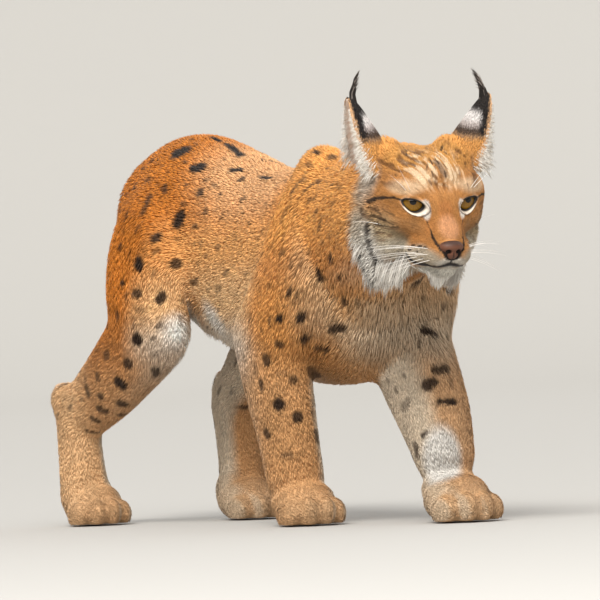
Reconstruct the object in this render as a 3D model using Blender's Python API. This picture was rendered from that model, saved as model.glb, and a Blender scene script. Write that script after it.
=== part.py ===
# A life-size Eurasian lynx in a slow walk, for Blender 4.5, in metres, +Z up, facing -Y.
# The coat's outer surface is modelled as one whole and then parted into the pieces a person would name.
import math
import random

import bmesh
import bpy
import numpy as np
from mathutils import Matrix, Vector
from mathutils.bvhtree import BVHTree

# Driving sizes
GAP = 0.0003
VOXEL = 0.0036
EYE_OUT = 0.031
EYE_RADIUS = 0.0145
LID_OPENING = (0.0138, 0.0093)
LIP_GROOVE = 0.0016
CLEFT_GROOVE = 0.0011
EAR_WALL = 0.0042
FACES_BODY = 3700
FACES_HEAD = 2100
SEED = 7
RUFF_WIDE = 0.025
BEARD_LONG = 0.030
FRINGE_LONG = 0.026
TUFT_LONG = 0.040

# Places along the trunk and limbs: x, y, z, half width, half depth
TRUNK = (
    (0.033, -0.232, 0.318, 0.064, 0.090),
    (0.044, -0.190, 0.306, 0.086, 0.130),
    (0.047, -0.115, 0.304, 0.097, 0.139),
    (0.051, -0.020, 0.306, 0.098, 0.130),
    (0.053, 0.074, 0.320, 0.093, 0.123),
    (0.048, 0.159, 0.346, 0.086, 0.123),
    (0.038, 0.235, 0.374, 0.085, 0.115),
    (0.025, 0.297, 0.372, 0.070, 0.097),
)
NECK = (
    (0.039, -0.190, 0.345, 0.082, 0.098),
    (0.024, -0.265, 0.356, 0.079, 0.092),
    (0.008, -0.330, 0.366, 0.073, 0.082),
    (-0.002, -0.387, 0.376, 0.064, 0.070),
)
TAIL = (
    (0.020, 0.330, 0.410, 0.030, 0.032),
    (0.017, 0.363, 0.385, 0.027, 0.028),
    (0.018, 0.388, 0.335, 0.027, 0.027),
    (0.021, 0.400, 0.290, 0.026, 0.026),
)
HIND_RIGHT = (
    ((0.003, 0.237, 0.408, 0.046, 0.068), (-0.025, 0.236, 0.350, 0.052, 0.090),
     (-0.050, 0.214, 0.288, 0.048, 0.082), (-0.063, 0.186, 0.245, 0.040, 0.058)),
    ((-0.060, 0.168, 0.252, 0.040, 0.060), (-0.069, 0.209, 0.223, 0.038, 0.060),
     (-0.083, 0.264, 0.180, 0.034, 0.051), (-0.096, 0.319, 0.144, 0.029, 0.040)),
    ((-0.099, 0.333, 0.150, 0.028, 0.034), (-0.100, 0.328, 0.090, 0.028, 0.031),
     (-0.100, 0.319, 0.035, 0.032, 0.031)),
)
HIND_LEFT = (
    ((0.095, 0.244, 0.415, 0.046, 0.074), (0.103, 0.228, 0.350, 0.050, 0.090),
     (0.105, 0.186, 0.290, 0.046, 0.076), (0.102, 0.148, 0.250, 0.040, 0.056)),
    ((0.101, 0.129, 0.262, 0.040, 0.055), (0.095, 0.167, 0.232, 0.037, 0.052),
     (0.088, 0.210, 0.190, 0.032, 0.044), (0.081, 0.245, 0.155, 0.028, 0.036)),
    ((0.080, 0.256, 0.152, 0.027, 0.032), (0.077, 0.237, 0.090, 0.027, 0.029),
     (0.072, 0.215, 0.035, 0.031, 0.030)),
)
FORE_RIGHT = (
    ((0.012, -0.158, 0.427, 0.034, 0.040), (-0.010, -0.166, 0.365, 0.044, 0.068),
     (-0.027, -0.157, 0.300, 0.046, 0.073), (-0.040, -0.116, 0.240, 0.044, 0.064)),
    ((-0.040, -0.098, 0.238, 0.044, 0.060), (-0.038, -0.110, 0.170, 0.040, 0.052),
     (-0.035, -0.125, 0.105, 0.036, 0.042), (-0.033, -0.134, 0.055, 0.035, 0.038)),
)
FORE_LEFT = (
    ((0.088, -0.150, 0.424, 0.034, 0.040), (0.105, -0.175, 0.360, 0.044, 0.066),
     (0.114, -0.190, 0.300, 0.046, 0.074), (0.111, -0.182, 0.240, 0.045, 0.064)),
    ((0.104, -0.166, 0.243, 0.050, 0.064), (0.094, -0.222, 0.183, 0.047, 0.060),
     (0.086, -0.276, 0.126, 0.042, 0.052), (0.080, -0.309, 0.078, 0.036, 0.040)),
)
HEELS = ((-0.108, 0.350, 0.160), (0.081, 0.269, 0.168))
PAWS = (
    (-0.094, 0.307, -8, 1.0),
    (0.069, 0.196, 2, 1.0),
    (-0.032, -0.155, -8, 1.05),
    (0.077, -0.345, -4, 1.08),
)

# The head's own frame lies between the eyeballs: forward, left, up
HEAD_AT = Vector((0.005, -0.456, 0.381))
HEAD_PITCH = 16
HEAD_YAW = -7

# Where the ruff's locks are rooted along the cheek, and how far each falls, in the head's frame
RUFF_ROOTS = (
    (-0.074, 0.056, 0.006),
    (-0.068, 0.062, -0.034),
    (-0.058, 0.056, -0.070),
    (-0.040, 0.046, -0.086),
    (-0.018, 0.032, -0.082),
)
RUFF_FALL = (
    (-0.020, 0.011, -0.038),
    (-0.016, 0.015, -0.048),
    (-0.012, 0.006, -0.057),
    (-0.012, 0.001, -0.048),
    (-0.010, -0.003, -0.032),
)

# How each limb leaves the trunk: an outline in x and z, its reach along y, then its two cuts,
# each with the names above and below it, a place on it and the way down
LIMBS = (
    ("hindleg_right",
     ((-0.3, -0.05), (0.026, -0.05), (0.026, 0.195), (-0.012, 0.275), (-0.030, 0.400), (-0.3, 0.400)),
     0.118, 0.42,
     (("thigh", "shank", (-0.062, 0.172, 0.244), (-0.20, 0.75, -0.55)),
      ("shank", "foot", (-0.098, 0.322, 0.118), (0.0, 0.1, -1.0)))),
    ("hindleg_left",
     ((0.026, -0.05), (0.3, -0.05), (0.3, 0.410), (0.098, 0.410), (0.082, 0.285), (0.026, 0.195)),
     0.095, 0.42,
     (("thigh", "shank", (0.100, 0.142, 0.250), (-0.05, 0.75, -0.60)),
      ("shank", "foot", (0.082, 0.250, 0.125), (0.0, -0.15, -1.0)))),
    ("foreleg_right",
     ((-0.3, -0.05), (0.036, -0.05), (0.036, 0.150), (0.000, 0.235), (0.000, 0.430), (-0.3, 0.430)),
     -0.270, -0.052,
     (("upper", "forearm", (-0.040, -0.110, 0.222), (0.0, 0.05, -1.0)),
      ("forearm", "paw", (-0.036, -0.136, 0.066), (0.0, -0.1, -1.0)))),
    ("foreleg_left",
     ((0.036, -0.05), (0.3, -0.05), (0.3, 0.430), (0.098, 0.430), (0.098, 0.235), (0.036, 0.150)),
     -0.470, -0.078,
     (("upper", "forearm", (0.104, -0.190, 0.222), (-0.05, -0.45, -0.90)),
      ("forearm", "paw", (0.082, -0.322, 0.070), (-0.05, -0.55, -0.85)))),
)


def clear_scene():
    for obj in list(bpy.data.objects):
        bpy.data.objects.remove(obj)


def tilt(angle_x=0.0, angle_y=0.0, angle_z=0.0):
    """A turn about X, then Y, then Z, in degrees."""
    x, y, z = (math.radians(a) for a in (angle_x, angle_y, angle_z))
    return Matrix.Rotation(z, 3, "Z") @ Matrix.Rotation(y, 3, "Y") @ Matrix.Rotation(x, 3, "X")


HEAD_TURN = tilt(0, 0, HEAD_YAW) @ tilt(HEAD_PITCH, 0, 0)


def head_point(forward, left, up):
    return HEAD_AT + HEAD_TURN @ Vector((left, -forward, up))


def smooth_path(points, steps):
    """Places read from a smooth curve through the given ones, with any radii that follow each place."""
    full = [points[0], *points, points[-1]]
    found = []
    for i in range(1, len(full) - 2):
        a, b, c, d = (Vector(full[i + k]) for k in (-1, 0, 1, 2))
        for s in range(steps):
            t = s / steps
            bend = (2 * a - 5 * b + 4 * c - d) * t**2 + (3 * b - a - 3 * c + d) * t**3
            found.append(0.5 * (2 * b + (c - a) * t + bend))
    found.append(Vector(full[-2]))
    return found


def loft(bm, stations, side=(1, 0, 0), steps=4, around=16):
    """A closed tube with rounded ends along stations: x, y, z, half width along side, half depth across."""
    rings = smooth_path(stations, steps)
    centres = [Vector(s[:3]) for s in rings]
    rows = []
    for i, station in enumerate(rings):
        ahead = centres[min(i + 1, len(rings) - 1)] - centres[max(i - 1, 0)]
        along = ahead.normalized()
        across = (Vector(side) - along * along.dot(Vector(side))).normalized()
        deep = along.cross(across)
        rows.append((centres[i], across, deep, station[3], station[4], along))
    cap = ((0.97, 0.25), (0.8, 0.6), (0.45, 0.89))
    c, a, b, w, h, g = rows[0]
    start = [(c - g * min(w, h) * lift, a, b, w * k, h * k, g) for lift, k in cap]
    c, a, b, w, h, g = rows[-1]
    end = [(c + g * min(w, h) * lift, a, b, w * k, h * k, g) for lift, k in reversed(cap)]
    loops = []
    for c, a, b, w, h, g in start + rows + end:
        turn = [2 * math.pi * j / around for j in range(around)]
        loops.append([bm.verts.new(c + a * w * math.cos(t) + b * h * math.sin(t)) for t in turn])
    for low, high in zip(loops, loops[1:]):
        for j in range(around):
            k = (j + 1) % around
            bm.faces.new((low[j], low[k], high[k], high[j]))
    bm.faces.new(list(reversed(loops[0])))
    bm.faces.new(loops[-1])


def muscle(bm, centre, radii, turn=Matrix.Identity(3), subdivisions=3):
    """An ellipsoid with its radii along the columns of turn."""
    place = Matrix.Translation(centre) @ turn.to_4x4() @ Matrix.Diagonal((*radii, 1.0))
    bmesh.ops.create_icosphere(bm, subdivisions=subdivisions, radius=1.0, matrix=place)


def paw(bm, x, y, heading, scale):
    """A broad padded paw with four toes, its sole just under the floor."""
    turn = tilt(0, 0, heading)
    parts = [
        ((0.0, 0.006, 0.026), (0.036, 0.044, 0.030)),
        ((0.0, 0.024, 0.036), (0.031, 0.030, 0.036)),
        ((-0.0275, -0.020, 0.014), (0.0125, 0.026, 0.018)),
        ((-0.0098, -0.034, 0.016), (0.0128, 0.027, 0.020)),
        ((0.0098, -0.034, 0.016), (0.0128, 0.027, 0.020)),
        ((0.0275, -0.020, 0.014), (0.0125, 0.026, 0.018)),
    ]
    for place, radii in parts:
        centre = Vector((x, y, 0.0)) + turn @ Vector(place) * scale
        muscle(bm, centre, [r * scale for r in radii], turn)


def build_body(bm):
    """Trunk, neck, tail and limbs as overlapping solids."""
    loft(bm, TRUNK)
    loft(bm, NECK)
    loft(bm, TAIL, steps=4)
    for limb in (HIND_RIGHT, HIND_LEFT, FORE_RIGHT, FORE_LEFT):
        for piece in limb:
            loft(bm, piece)
    for place in HEELS:
        muscle(bm, place, (0.020, 0.023, 0.026))
    for place in PAWS:
        paw(bm, *place)


def head_solid(bm, forward, left, up, long, wide, high, pitch=0, yaw=0, roll=0):
    """An ellipsoid in the head's frame, on both sides when it lies off the middle."""
    for side in (1, -1) if left else (1,):
        turn = HEAD_TURN @ tilt(0, roll * side, yaw * side) @ tilt(pitch, 0, 0)
        muscle(bm, head_point(forward, left * side, up), (wide, long, high), turn)


def head_loft(bm, stations, **options):
    """A tube along the head's forward axis: forward, left, up, half width, half height."""
    placed = [(*head_point(*s[:3]), *s[3:]) for s in stations]
    loft(bm, placed, side=HEAD_TURN @ Vector((1, 0, 0)), **options)


def build_head(bm):
    """Skull, muzzle, cheeks and ruff as overlapping solids; eyes, ears and nose leather come after."""
    head_loft(bm, (
        (-0.130, 0, -0.019, 0.064, 0.057),
        (-0.090, 0, -0.011, 0.066, 0.056),
        (-0.055, 0, -0.007, 0.063, 0.056),
        (-0.025, 0, -0.011, 0.057, 0.054),
        (-0.004, 0, -0.017, 0.046, 0.040),
    ), around=24)
    head_loft(bm, (
        (-0.010, 0, -0.022, 0.036, 0.036),
        (0.012, 0, -0.032, 0.029, 0.034),
        (0.032, 0, -0.040, 0.024, 0.028),
        (0.044, 0, -0.046, 0.019, 0.020),
    ), around=24)
    head_solid(bm, 0.006, 0, -0.006, 0.032, 0.017, 0.020, pitch=38)
    head_solid(bm, 0.032, 0, -0.026, 0.028, 0.016, 0.016, pitch=36)
    head_solid(bm, 0.0405, 0.0135, -0.052, 0.0215, 0.0165, 0.0165, yaw=-12)
    head_solid(bm, 0.020, 0.024, -0.055, 0.026, 0.014, 0.017, yaw=-24)
    head_solid(bm, 0.030, 0, -0.071, 0.022, 0.017, 0.0135)
    head_solid(bm, 0.004, 0, -0.066, 0.036, 0.033, 0.021)
    head_solid(bm, -0.018, 0.039, -0.016, 0.038, 0.026, 0.027, yaw=-22)
    head_solid(bm, -0.022, 0.045, 0.004, 0.034, 0.023, 0.028, yaw=-14)
    head_solid(bm, -0.046, 0.043, -0.044, 0.040, 0.027, 0.044)
    head_solid(bm, -0.002, 0.0295, 0.013, 0.020, 0.019, 0.0095, yaw=-26)
    head_solid(bm, 0.0, 0.0315, 0.0, 0.0168, 0.0180, 0.0168)
    head_solid(bm, -0.075, 0.046, -0.055, 0.034, 0.028, 0.056, roll=8)
    head_solid(bm, -0.062, 0.048, -0.092, 0.026, 0.017, 0.034, roll=12)
    head_solid(bm, -0.066, 0.045, 0.036, 0.033, 0.029, 0.025, roll=38)
    head_solid(bm, -0.040, 0, 0.020, 0.050, 0.045, 0.029)


def whole_mesh(fill, voxel, rounds):
    """One closed even skin over overlapping solids, smoothed by rounds(points) passes at each place."""
    bm = bmesh.new()
    fill(bm)
    mesh = bpy.data.meshes.new("whole")
    bm.to_mesh(mesh)
    bm.free()
    obj = bpy.data.objects.new("whole", mesh)
    bpy.context.scene.collection.objects.link(obj)
    remesh = obj.modifiers.new("skin", "REMESH")
    remesh.mode = "VOXEL"
    remesh.voxel_size = voxel
    mesh = bpy.data.meshes.new_from_object(obj.evaluated_get(bpy.context.evaluated_depsgraph_get()))
    bpy.data.objects.remove(obj)
    points = np.empty(len(mesh.vertices) * 3)
    mesh.vertices.foreach_get("co", points)
    points = points.reshape(-1, 3)
    edges = np.empty(len(mesh.edges) * 2, dtype=np.int64)
    mesh.edges.foreach_get("vertices", edges)
    edges = edges.reshape(-1, 2)
    count = np.bincount(edges.ravel(), minlength=len(points))[:, None]
    wanted = rounds(points)
    for step in range(int(wanted.max())):
        total = np.empty_like(points)
        for axis in range(3):
            total[:, axis] = np.bincount(edges[:, 0], points[edges[:, 1], axis], len(points))
            total[:, axis] += np.bincount(edges[:, 1], points[edges[:, 0], axis], len(points))
        part = np.clip(wanted - step, 0.0, 1.0)[:, None]
        points = points + 0.6 * part * (total / count - points)
    mesh.vertices.foreach_set("co", points.ravel())
    mesh.update()
    return mesh


def rounds(points):
    """Heavy smoothing on the trunk, light on the face, ears and paws."""
    face = np.linalg.norm((points - np.array(head_point(0.022, 0, -0.026))) / 0.066, axis=1)
    head = np.linalg.norm((points - np.array(head_point(-0.04, 0, 0.0))) / 0.13, axis=1)
    amount = 3.0 + 13.0 * np.clip((face - 0.8) / 0.5, 0, 1) + 24.0 * np.clip((head - 0.9) / 0.6, 0, 1)
    low = 3.0 + 37.0 * np.clip((points[:, 2] - 0.05) / 0.14, 0, 1)
    return np.minimum(amount, low)


def make_object(name, mesh):
    obj = bpy.data.objects.new(name, mesh)
    bpy.context.scene.collection.objects.link(obj)
    return obj


def bake(obj, *steps):
    """Applies modifiers given as (type, settings) and returns the object with its finished mesh."""
    for kind, settings in steps:
        modifier = obj.modifiers.new(kind.lower(), kind)
        for key, value in settings.items():
            setattr(modifier, key, value)
    mesh = bpy.data.meshes.new_from_object(obj.evaluated_get(bpy.context.evaluated_depsgraph_get()))
    obj.modifiers.clear()
    obj.data = mesh
    return obj


def combine(obj, other, operation, solver="EXACT"):
    return bake(obj, ("BOOLEAN", {"operation": operation, "object": other, "solver": solver}))


def copy_of(obj, name):
    return make_object(name, obj.data.copy())


def grown(obj, name, by):
    """A copy with its surface moved out by a small distance."""
    mesh = obj.data.copy()
    normals = [Vector(n.vector) for n in mesh.vertex_normals]
    for vertex, normal in zip(mesh.vertices, normals):
        vertex.co += normal * by
    return make_object(name, mesh)


def remove(*objects):
    for obj in objects:
        bpy.data.objects.remove(obj)


def keep_largest(obj):
    """Drops every loose piece but the biggest, and merges near points while the surface stays closed."""
    for near in (0.00003, 0.00001, 0.000002):
        bm = bmesh.new()
        bm.from_mesh(obj.data)
        bmesh.ops.remove_doubles(bm, verts=bm.verts, dist=near)
        bmesh.ops.dissolve_degenerate(bm, edges=bm.edges, dist=near)
        bmesh.ops.triangulate(bm, faces=bm.faces)
        if all(len(edge.link_faces) == 2 for edge in bm.edges):
            break
        bm.free()
    left = set(bm.verts)
    groups = []
    while left:
        stack = [left.pop()]
        group = list(stack)
        while stack:
            for edge in stack.pop().link_edges:
                for vertex in edge.verts:
                    if vertex in left:
                        left.discard(vertex)
                        stack.append(vertex)
                        group.append(vertex)
        groups.append(group)
    groups.sort(key=len, reverse=True)
    loose = [vertex for group in groups[1:] for vertex in group]
    bmesh.ops.delete(bm, geom=loose, context="VERTS")
    bm.to_mesh(obj.data)
    bm.free()
    return obj


def solid(name, fill):
    bm = bmesh.new()
    fill(bm)
    bmesh.ops.recalc_face_normals(bm, faces=bm.faces)
    mesh = bpy.data.meshes.new(name)
    bm.to_mesh(mesh)
    bm.free()
    return make_object(name, mesh)


def offset_outline(outline, by):
    """The outline's corners moved outwards along their mitres, for an outline that runs anticlockwise."""
    moved = []
    for i, here in enumerate(outline):
        before, after = Vector(outline[i - 1]), Vector(outline[(i + 1) % len(outline)])
        a = (Vector(here) - before).normalized()
        b = (after - Vector(here)).normalized()
        n1, n2 = Vector((a.y, -a.x)), Vector((b.y, -b.x))
        moved.append(Vector(here) + (n1 + n2) * by / (1 + n1.dot(n2)))
    return moved


def prism(outline, near, far, place=None):
    """A closed prism on an outline in the XZ plane, along Y."""
    def fill(bm):
        rows = []
        for depth in (near, far):
            spots = [Vector((p[0], depth, p[1])) for p in outline]
            if place:
                spots = [place @ s for s in spots]
            rows.append([bm.verts.new(s) for s in spots])
        count = len(outline)
        for i in range(count):
            j = (i + 1) % count
            bm.faces.new((rows[0][i], rows[0][j], rows[1][j], rows[1][i]))
        bm.faces.new(rows[0])
        bm.faces.new(list(reversed(rows[1])))
    return solid("cutter", fill)


def part_off(rest, name, outline, near, far, place=None):
    """Takes the piece inside a prism off the rest, with the gap between the two."""
    inner = prism(outline, near, far, place)
    outer = prism(offset_outline(outline, GAP), near - GAP, far + GAP, place)
    piece = combine(copy_of(rest, name), inner, "INTERSECT")
    combine(rest, outer, "DIFFERENCE")
    remove(inner, outer)
    return keep_largest(piece)


def slice_off(rest, name, point, direction):
    """Takes what lies beyond a plane off the rest, with the gap between the two."""
    turn = Vector(direction).normalized().to_track_quat("Y", "Z").to_matrix().to_4x4()
    place = Matrix.Translation(point) @ turn
    square = ((-0.3, -0.3), (0.3, -0.3), (0.3, 0.3), (-0.3, 0.3))
    return part_off(rest, name, square, 0.0, 0.6, place)


def build_ear(side):
    """The pinna as a cupped shell, open outwards."""
    rows = 9
    columns = 10

    def fill(bm):
        outer, inner = [], []
        for i in range(rows):
            t = i / (rows - 1) * 0.985
            centre, deep, wide = ear_section(side, t)
            thick = EAR_WALL * (1 - 0.55 * t)
            for grid, less in ((outer, 0.0), (inner, thick)):
                row = []
                for j in range(columns):
                    angle = math.radians(-112 + 224 * j / (columns - 1))
                    lip = 1.0 - 0.9 * abs(2 * j / (columns - 1) - 1) ** 6 if less else 1.0
                    depth, width = deep - less * lip, wide - less * lip
                    lean = Vector((width * math.sin(angle), -side * depth * math.cos(angle), 0))
                    row.append(bm.verts.new(head_point(*(centre + lean))))
                grid.append(row)
        for i in range(rows - 1):
            for j in range(columns - 1):
                bm.faces.new((outer[i][j], outer[i][j + 1], outer[i + 1][j + 1], outer[i + 1][j]))
                bm.faces.new((inner[i][j], inner[i + 1][j], inner[i + 1][j + 1], inner[i][j + 1]))
        for i in range(rows - 1):
            for j in (0, columns - 1):
                bm.faces.new((outer[i][j], outer[i + 1][j], inner[i + 1][j], inner[i][j]))
        for i in (0, rows - 1):
            for j in range(columns - 1):
                bm.faces.new((outer[i][j], outer[i][j + 1], inner[i][j + 1], inner[i][j]))
    return solid("ear_left" if side > 0 else "ear_right", fill)


def lock(name, root, tip, wide, thick, facing, bend):
    """A flat tapered lock of hair from root to tip, broad towards facing and bowed by bend."""
    widths = (0.70, 1.0, 0.92, 0.58)
    depths = (1.0, 0.90, 0.70, 0.44)
    middle = (root + tip) / 2 + bend

    def fill(bm):
        rings = []
        for i, (w, h) in enumerate(zip(widths, depths)):
            t = i / len(widths)
            place = root * (1 - t) ** 2 + middle * 2 * t * (1 - t) + tip * t * t
            along = ((middle - root) * (1 - t) + (tip - middle) * t).normalized()
            across = along.cross(facing).normalized() * wide / 2 * w
            deep = across.cross(along).normalized() * thick / 2 * h
            rings.append([bm.verts.new(place + side) for side in (across, deep, -across, -deep)])
        end = bm.verts.new(tip)
        for low, high in zip(rings, rings[1:]):
            for j in range(4):
                k = (j + 1) % 4
                bm.faces.new((low[j], low[k], high[k], high[j]))
        for j in range(4):
            bm.faces.new((rings[-1][j], rings[-1][(j + 1) % 4], end))
        bm.faces.new(list(reversed(rings[0])))
    return solid(name, fill)


def head_lock(root, tip, wide, thick, facing, bend=(0, 0, 0)):
    """A lock given in the head's frame."""
    turned = [HEAD_TURN @ Vector((v[1], -v[0], v[2])) for v in (facing, bend)]
    return lock("lock", head_point(*root), head_point(*tip), wide, thick, turned[0], turned[1])


def along_line(points, share):
    """The place at a share of the way along a smooth line through the points."""
    spots = smooth_path(points, 8)
    return spots[min(int(share * (len(spots) - 1) + 0.5), len(spots) - 1)]


def ruff_locks(side, chance):
    """Two overlapping rows of locks that hang from the cheek, from below the ear to under the jaw."""
    made = []
    for row, count in ((0, 8), (1, 7)):
        for i in range(count):
            share = (i + 0.5 * row) / (count - 1 + 0.5 * row)
            root, fall = along_line(RUFF_ROOTS, share), along_line(RUFF_FALL, share)
            size = (1 - 0.22 * row) * chance.uniform(0.90, 1.12)
            shift = Vector((0.016 * row, -0.004 * row, 0.006 * row))
            start = root + shift - fall.normalized() * 0.012
            end = root + shift + fall * size + Vector([chance.uniform(-0.003, 0.003) for k in range(3)])
            start.y, end.y = start.y * side, end.y * side
            out = Vector((0.25, side, -0.25))
            made.append(head_lock(start, end, RUFF_WIDE * chance.uniform(0.85, 1.1), 0.0085, out,
                                  (0.0, side * 0.006, 0.0)))
    return made


def beard_locks(chance):
    made = []
    for i in range(5):
        left = (i - 2) * 0.0085
        start = (0.027 - 0.004 * (i % 2), left, -0.070)
        drop = BEARD_LONG * (1 - 0.18 * abs(i - 2)) * chance.uniform(0.92, 1.08)
        end = (0.020 - 0.006 * (i % 2), left * 1.05, -0.076 - drop)
        made.append(head_lock(start, end, 0.013, 0.0075, (1, 0.15 * (i - 2), 0), (0.003, 0, 0)))
    return made


def ear_section(side, t):
    """The pinna's centre line and its half sizes at a share of its height, in the head's frame."""
    centre = Vector((-0.070 - 0.006 * t, side * (0.056 + 0.040 * t - 0.008 * t * t), 0.022 + 0.086 * t))
    taper = (1 - t) ** 0.62
    return centre, 0.006 + 0.030 * taper, 0.003 + 0.030 * taper


def ear_locks(side, chance):
    """Fringe locks that grow out of both rims of the cup, and the tuft at its tip."""
    made = []
    for angle, shares in ((-106, (0.16, 0.27, 0.38, 0.50, 0.63)), (106, (0.22, 0.36, 0.52))):
        for t in shares:
            centre, deep, wide = ear_section(side, t)
            thick = EAR_WALL * (1 - 0.55 * t) / 2
            turn = math.radians(angle)
            out = (wide - thick) * math.sin(turn)
            at = centre + Vector((out, -side * (deep - thick) * math.cos(turn), 0))
            lean = Vector((-0.25 * math.copysign(1, angle), side * 1.0, -0.85))
            long = FRINGE_LONG * (1.15 - 0.7 * t) * chance.uniform(0.9, 1.1)
            start = at - lean.normalized() * 0.006
            made.append(head_lock(start, at + lean.normalized() * long, 0.0165 * (1.2 - 0.7 * t), 0.0042,
                                  (math.copysign(1, angle), 0.2 * side, 0.1), (0, side * 0.003, 0.002)))
    for i in range(3):
        start = Vector((-0.0755 - 0.002 * i, side * 0.0865, 0.096))
        rise = TUFT_LONG * (1.0, 0.88, 0.78)[i]
        end = Vector((-0.094 - 0.005 * i, side * (0.0700 + 0.004 * i), 0.096 + rise))
        made.append(head_lock(start, end, 0.0085, 0.0055, (0.9, 0.5 * side, 0), (0, side * 0.010, 0.003)))
    return made


def fuse(obj, pieces):
    """Joins closed pieces to an object in one union and keeps the one closed surface."""
    group = bpy.data.collections.new("pieces")
    for piece in pieces:
        group.objects.link(piece)
    bake(obj, ("BOOLEAN", {"operation": "UNION", "operand_type": "COLLECTION", "collection": group,
                           "solver": "MANIFOLD"}))
    remove(*pieces)
    bpy.data.collections.remove(group)
    return keep_largest(obj)


def lid_opening(side):
    """An almond prism along the eye's line of sight, its inner corner lower."""
    turn = HEAD_TURN @ tilt(0, 0, 7 * side)
    centre = head_point(0, EYE_OUT * side, 0)
    half_wide, half_high = LID_OPENING

    def fill(bm):
        rows = []
        for depth in (0.002, 0.030):
            row = []
            for i in range(20):
                a = 2 * math.pi * i / 20
                x = half_wide * math.cos(a)
                z = half_high * math.sin(a) * (1 - 0.30 * math.cos(a) ** 2) + 0.20 * x * side + 0.0004
                row.append(bm.verts.new(centre + turn @ Vector((x + 0.0012 * side, -depth, z))))
            rows.append(row)
        for i in range(20):
            j = (i + 1) % 20
            bm.faces.new((rows[0][i], rows[0][j], rows[1][j], rows[1][i]))
        bm.faces.new(rows[0])
        bm.faces.new(list(reversed(rows[1])))
    return solid("cutter", fill)


def groove(tree, spots, radius):
    """A thin tube laid on the surface along spots in the head's frame, each looked for from the front."""
    found = []
    for spot in spots:
        inward = (head_point(-0.02, 0, -0.055) - head_point(*spot)).normalized()
        hit = tree.ray_cast(head_point(*spot) - inward * 0.06, inward)[0]
        found.append(hit + inward * radius * 0.2)
    path = [(*p, radius, radius) for p in found]
    side = HEAD_TURN @ Vector((0, 0, 1))
    return solid("cutter", lambda bm: loft(bm, path, side=side, steps=3, around=8))


def colour(obj, name, rgb, roughness):
    material = bpy.data.materials.get(name) or bpy.data.materials.new(name)
    material.use_nodes = True
    shader = material.node_tree.nodes["Principled BSDF"]
    shader.inputs["Base Color"].default_value = (*rgb, 1.0)
    shader.inputs["Roughness"].default_value = roughness
    obj.data.materials.clear()
    obj.data.materials.append(material)
    for face in obj.data.polygons:
        face.use_smooth = False


clear_scene()


def fill_all(bm):
    build_body(bm)
    build_head(bm)


# The whole coat surface, thinned out with more faces kept on the head
whole = make_object("whole", whole_mesh(fill_all, VOXEL, rounds))
floor = prism(((-0.6, -0.2), (0.6, -0.2), (0.6, 0.0), (-0.6, 0.0)), -0.8, 0.8)
head_box = Matrix.Translation(head_point(-0.098, 0, 0)) @ (HEAD_TURN @ tilt(-14, 0, 0)).to_4x4()
head_outline = ((-0.16, -0.19), (0.16, -0.19), (0.16, 0.19), (-0.16, 0.19))
head = part_off(whole, "head", head_outline, -0.3, 0.0, head_box)
for obj, goal in ((head, FACES_HEAD), (whole, FACES_BODY)):
    faces = sum(len(p.vertices) - 2 for p in obj.data.polygons)
    bake(obj, ("DECIMATE", {"ratio": goal / faces, "use_collapse_triangulate": True}))
combine(whole, floor, "DIFFERENCE")
remove(floor)

# Face: nose leather, eyes, lids, mouth
made = []
tree = BVHTree.FromObject(head, bpy.context.evaluated_depsgraph_get())


def nose_fill(bm):
    turn = HEAD_TURN @ tilt(-8, 0, 0)
    muscle(bm, head_point(0.0535, 0, -0.0415), (0.0150, 0.0125, 0.0085), turn)
    muscle(bm, head_point(0.0545, 0, -0.0480), (0.0085, 0.0110, 0.0085), turn)


nose = solid("nose", nose_fill)
nose = bake(nose, ("REMESH", {"mode": "VOXEL", "voxel_size": 0.0013}), ("SMOOTH", {"iterations": 4}),
            ("DECIMATE", {"ratio": 0.08, "use_collapse_triangulate": True}))
for side in (1, -1):
    for place, radii, roll in (
        ((0.0665, 0.0062 * side, -0.0450), (0.0030, 0.0050, 0.0024), 25 * side),
        ((0.0610, 0.0120 * side, -0.0475), (0.0050, 0.0050, 0.0012), -20 * side),
    ):
        turn = HEAD_TURN @ tilt(0, roll, 0)
        nostril = solid("nostril", lambda bm: muscle(bm, head_point(*place), radii, turn, 2))
        combine(nose, nostril, "DIFFERENCE")
        remove(nostril)
keep_largest(nose)
seat = grown(nose, "seat", GAP)
combine(head, seat, "DIFFERENCE")
remove(seat)
made.append(nose)
for side in (1, -1):
    centre = head_point(0, EYE_OUT * side, 0)
    eye = solid("eye_left" if side > 0 else "eye_right", lambda bm: muscle(bm, centre, [EYE_RADIUS] * 3))
    hollow = solid("hollow", lambda bm: muscle(bm, centre, [EYE_RADIUS * 1.004 + GAP] * 3))
    almond = lid_opening(side)
    combine(head, hollow, "DIFFERENCE")
    combine(head, almond, "DIFFERENCE")
    remove(hollow, almond)
    made.append(eye)
lip = []
for i in range(-8, 9):
    s = i / 8
    lip.append((0.012 + 0.042 * (1 - abs(s)) ** 0.7, 0.039 * s, -0.0605 - 0.0055 * math.cos(3.0 * s)))
cleft = ((0.06, 0, -0.052), (0.058, 0, -0.058), (0.055, 0, -0.064))
for spots, radius in ((lip, LIP_GROOVE), (cleft, CLEFT_GROOVE)):
    cutter = groove(tree, spots, radius)
    combine(head, cutter, "DIFFERENCE")
    remove(cutter)
keep_largest(head)

# Ears stand on the head with the gap under them
around = grown(head, "around", GAP * 1.2)
chance = random.Random(SEED)
for side in (1, -1):
    ear = build_ear(side)
    combine(ear, around, "DIFFERENCE")
    made.append(fuse(keep_largest(ear), ear_locks(side, chance)))
remove(around)
made.append(head)

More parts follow.
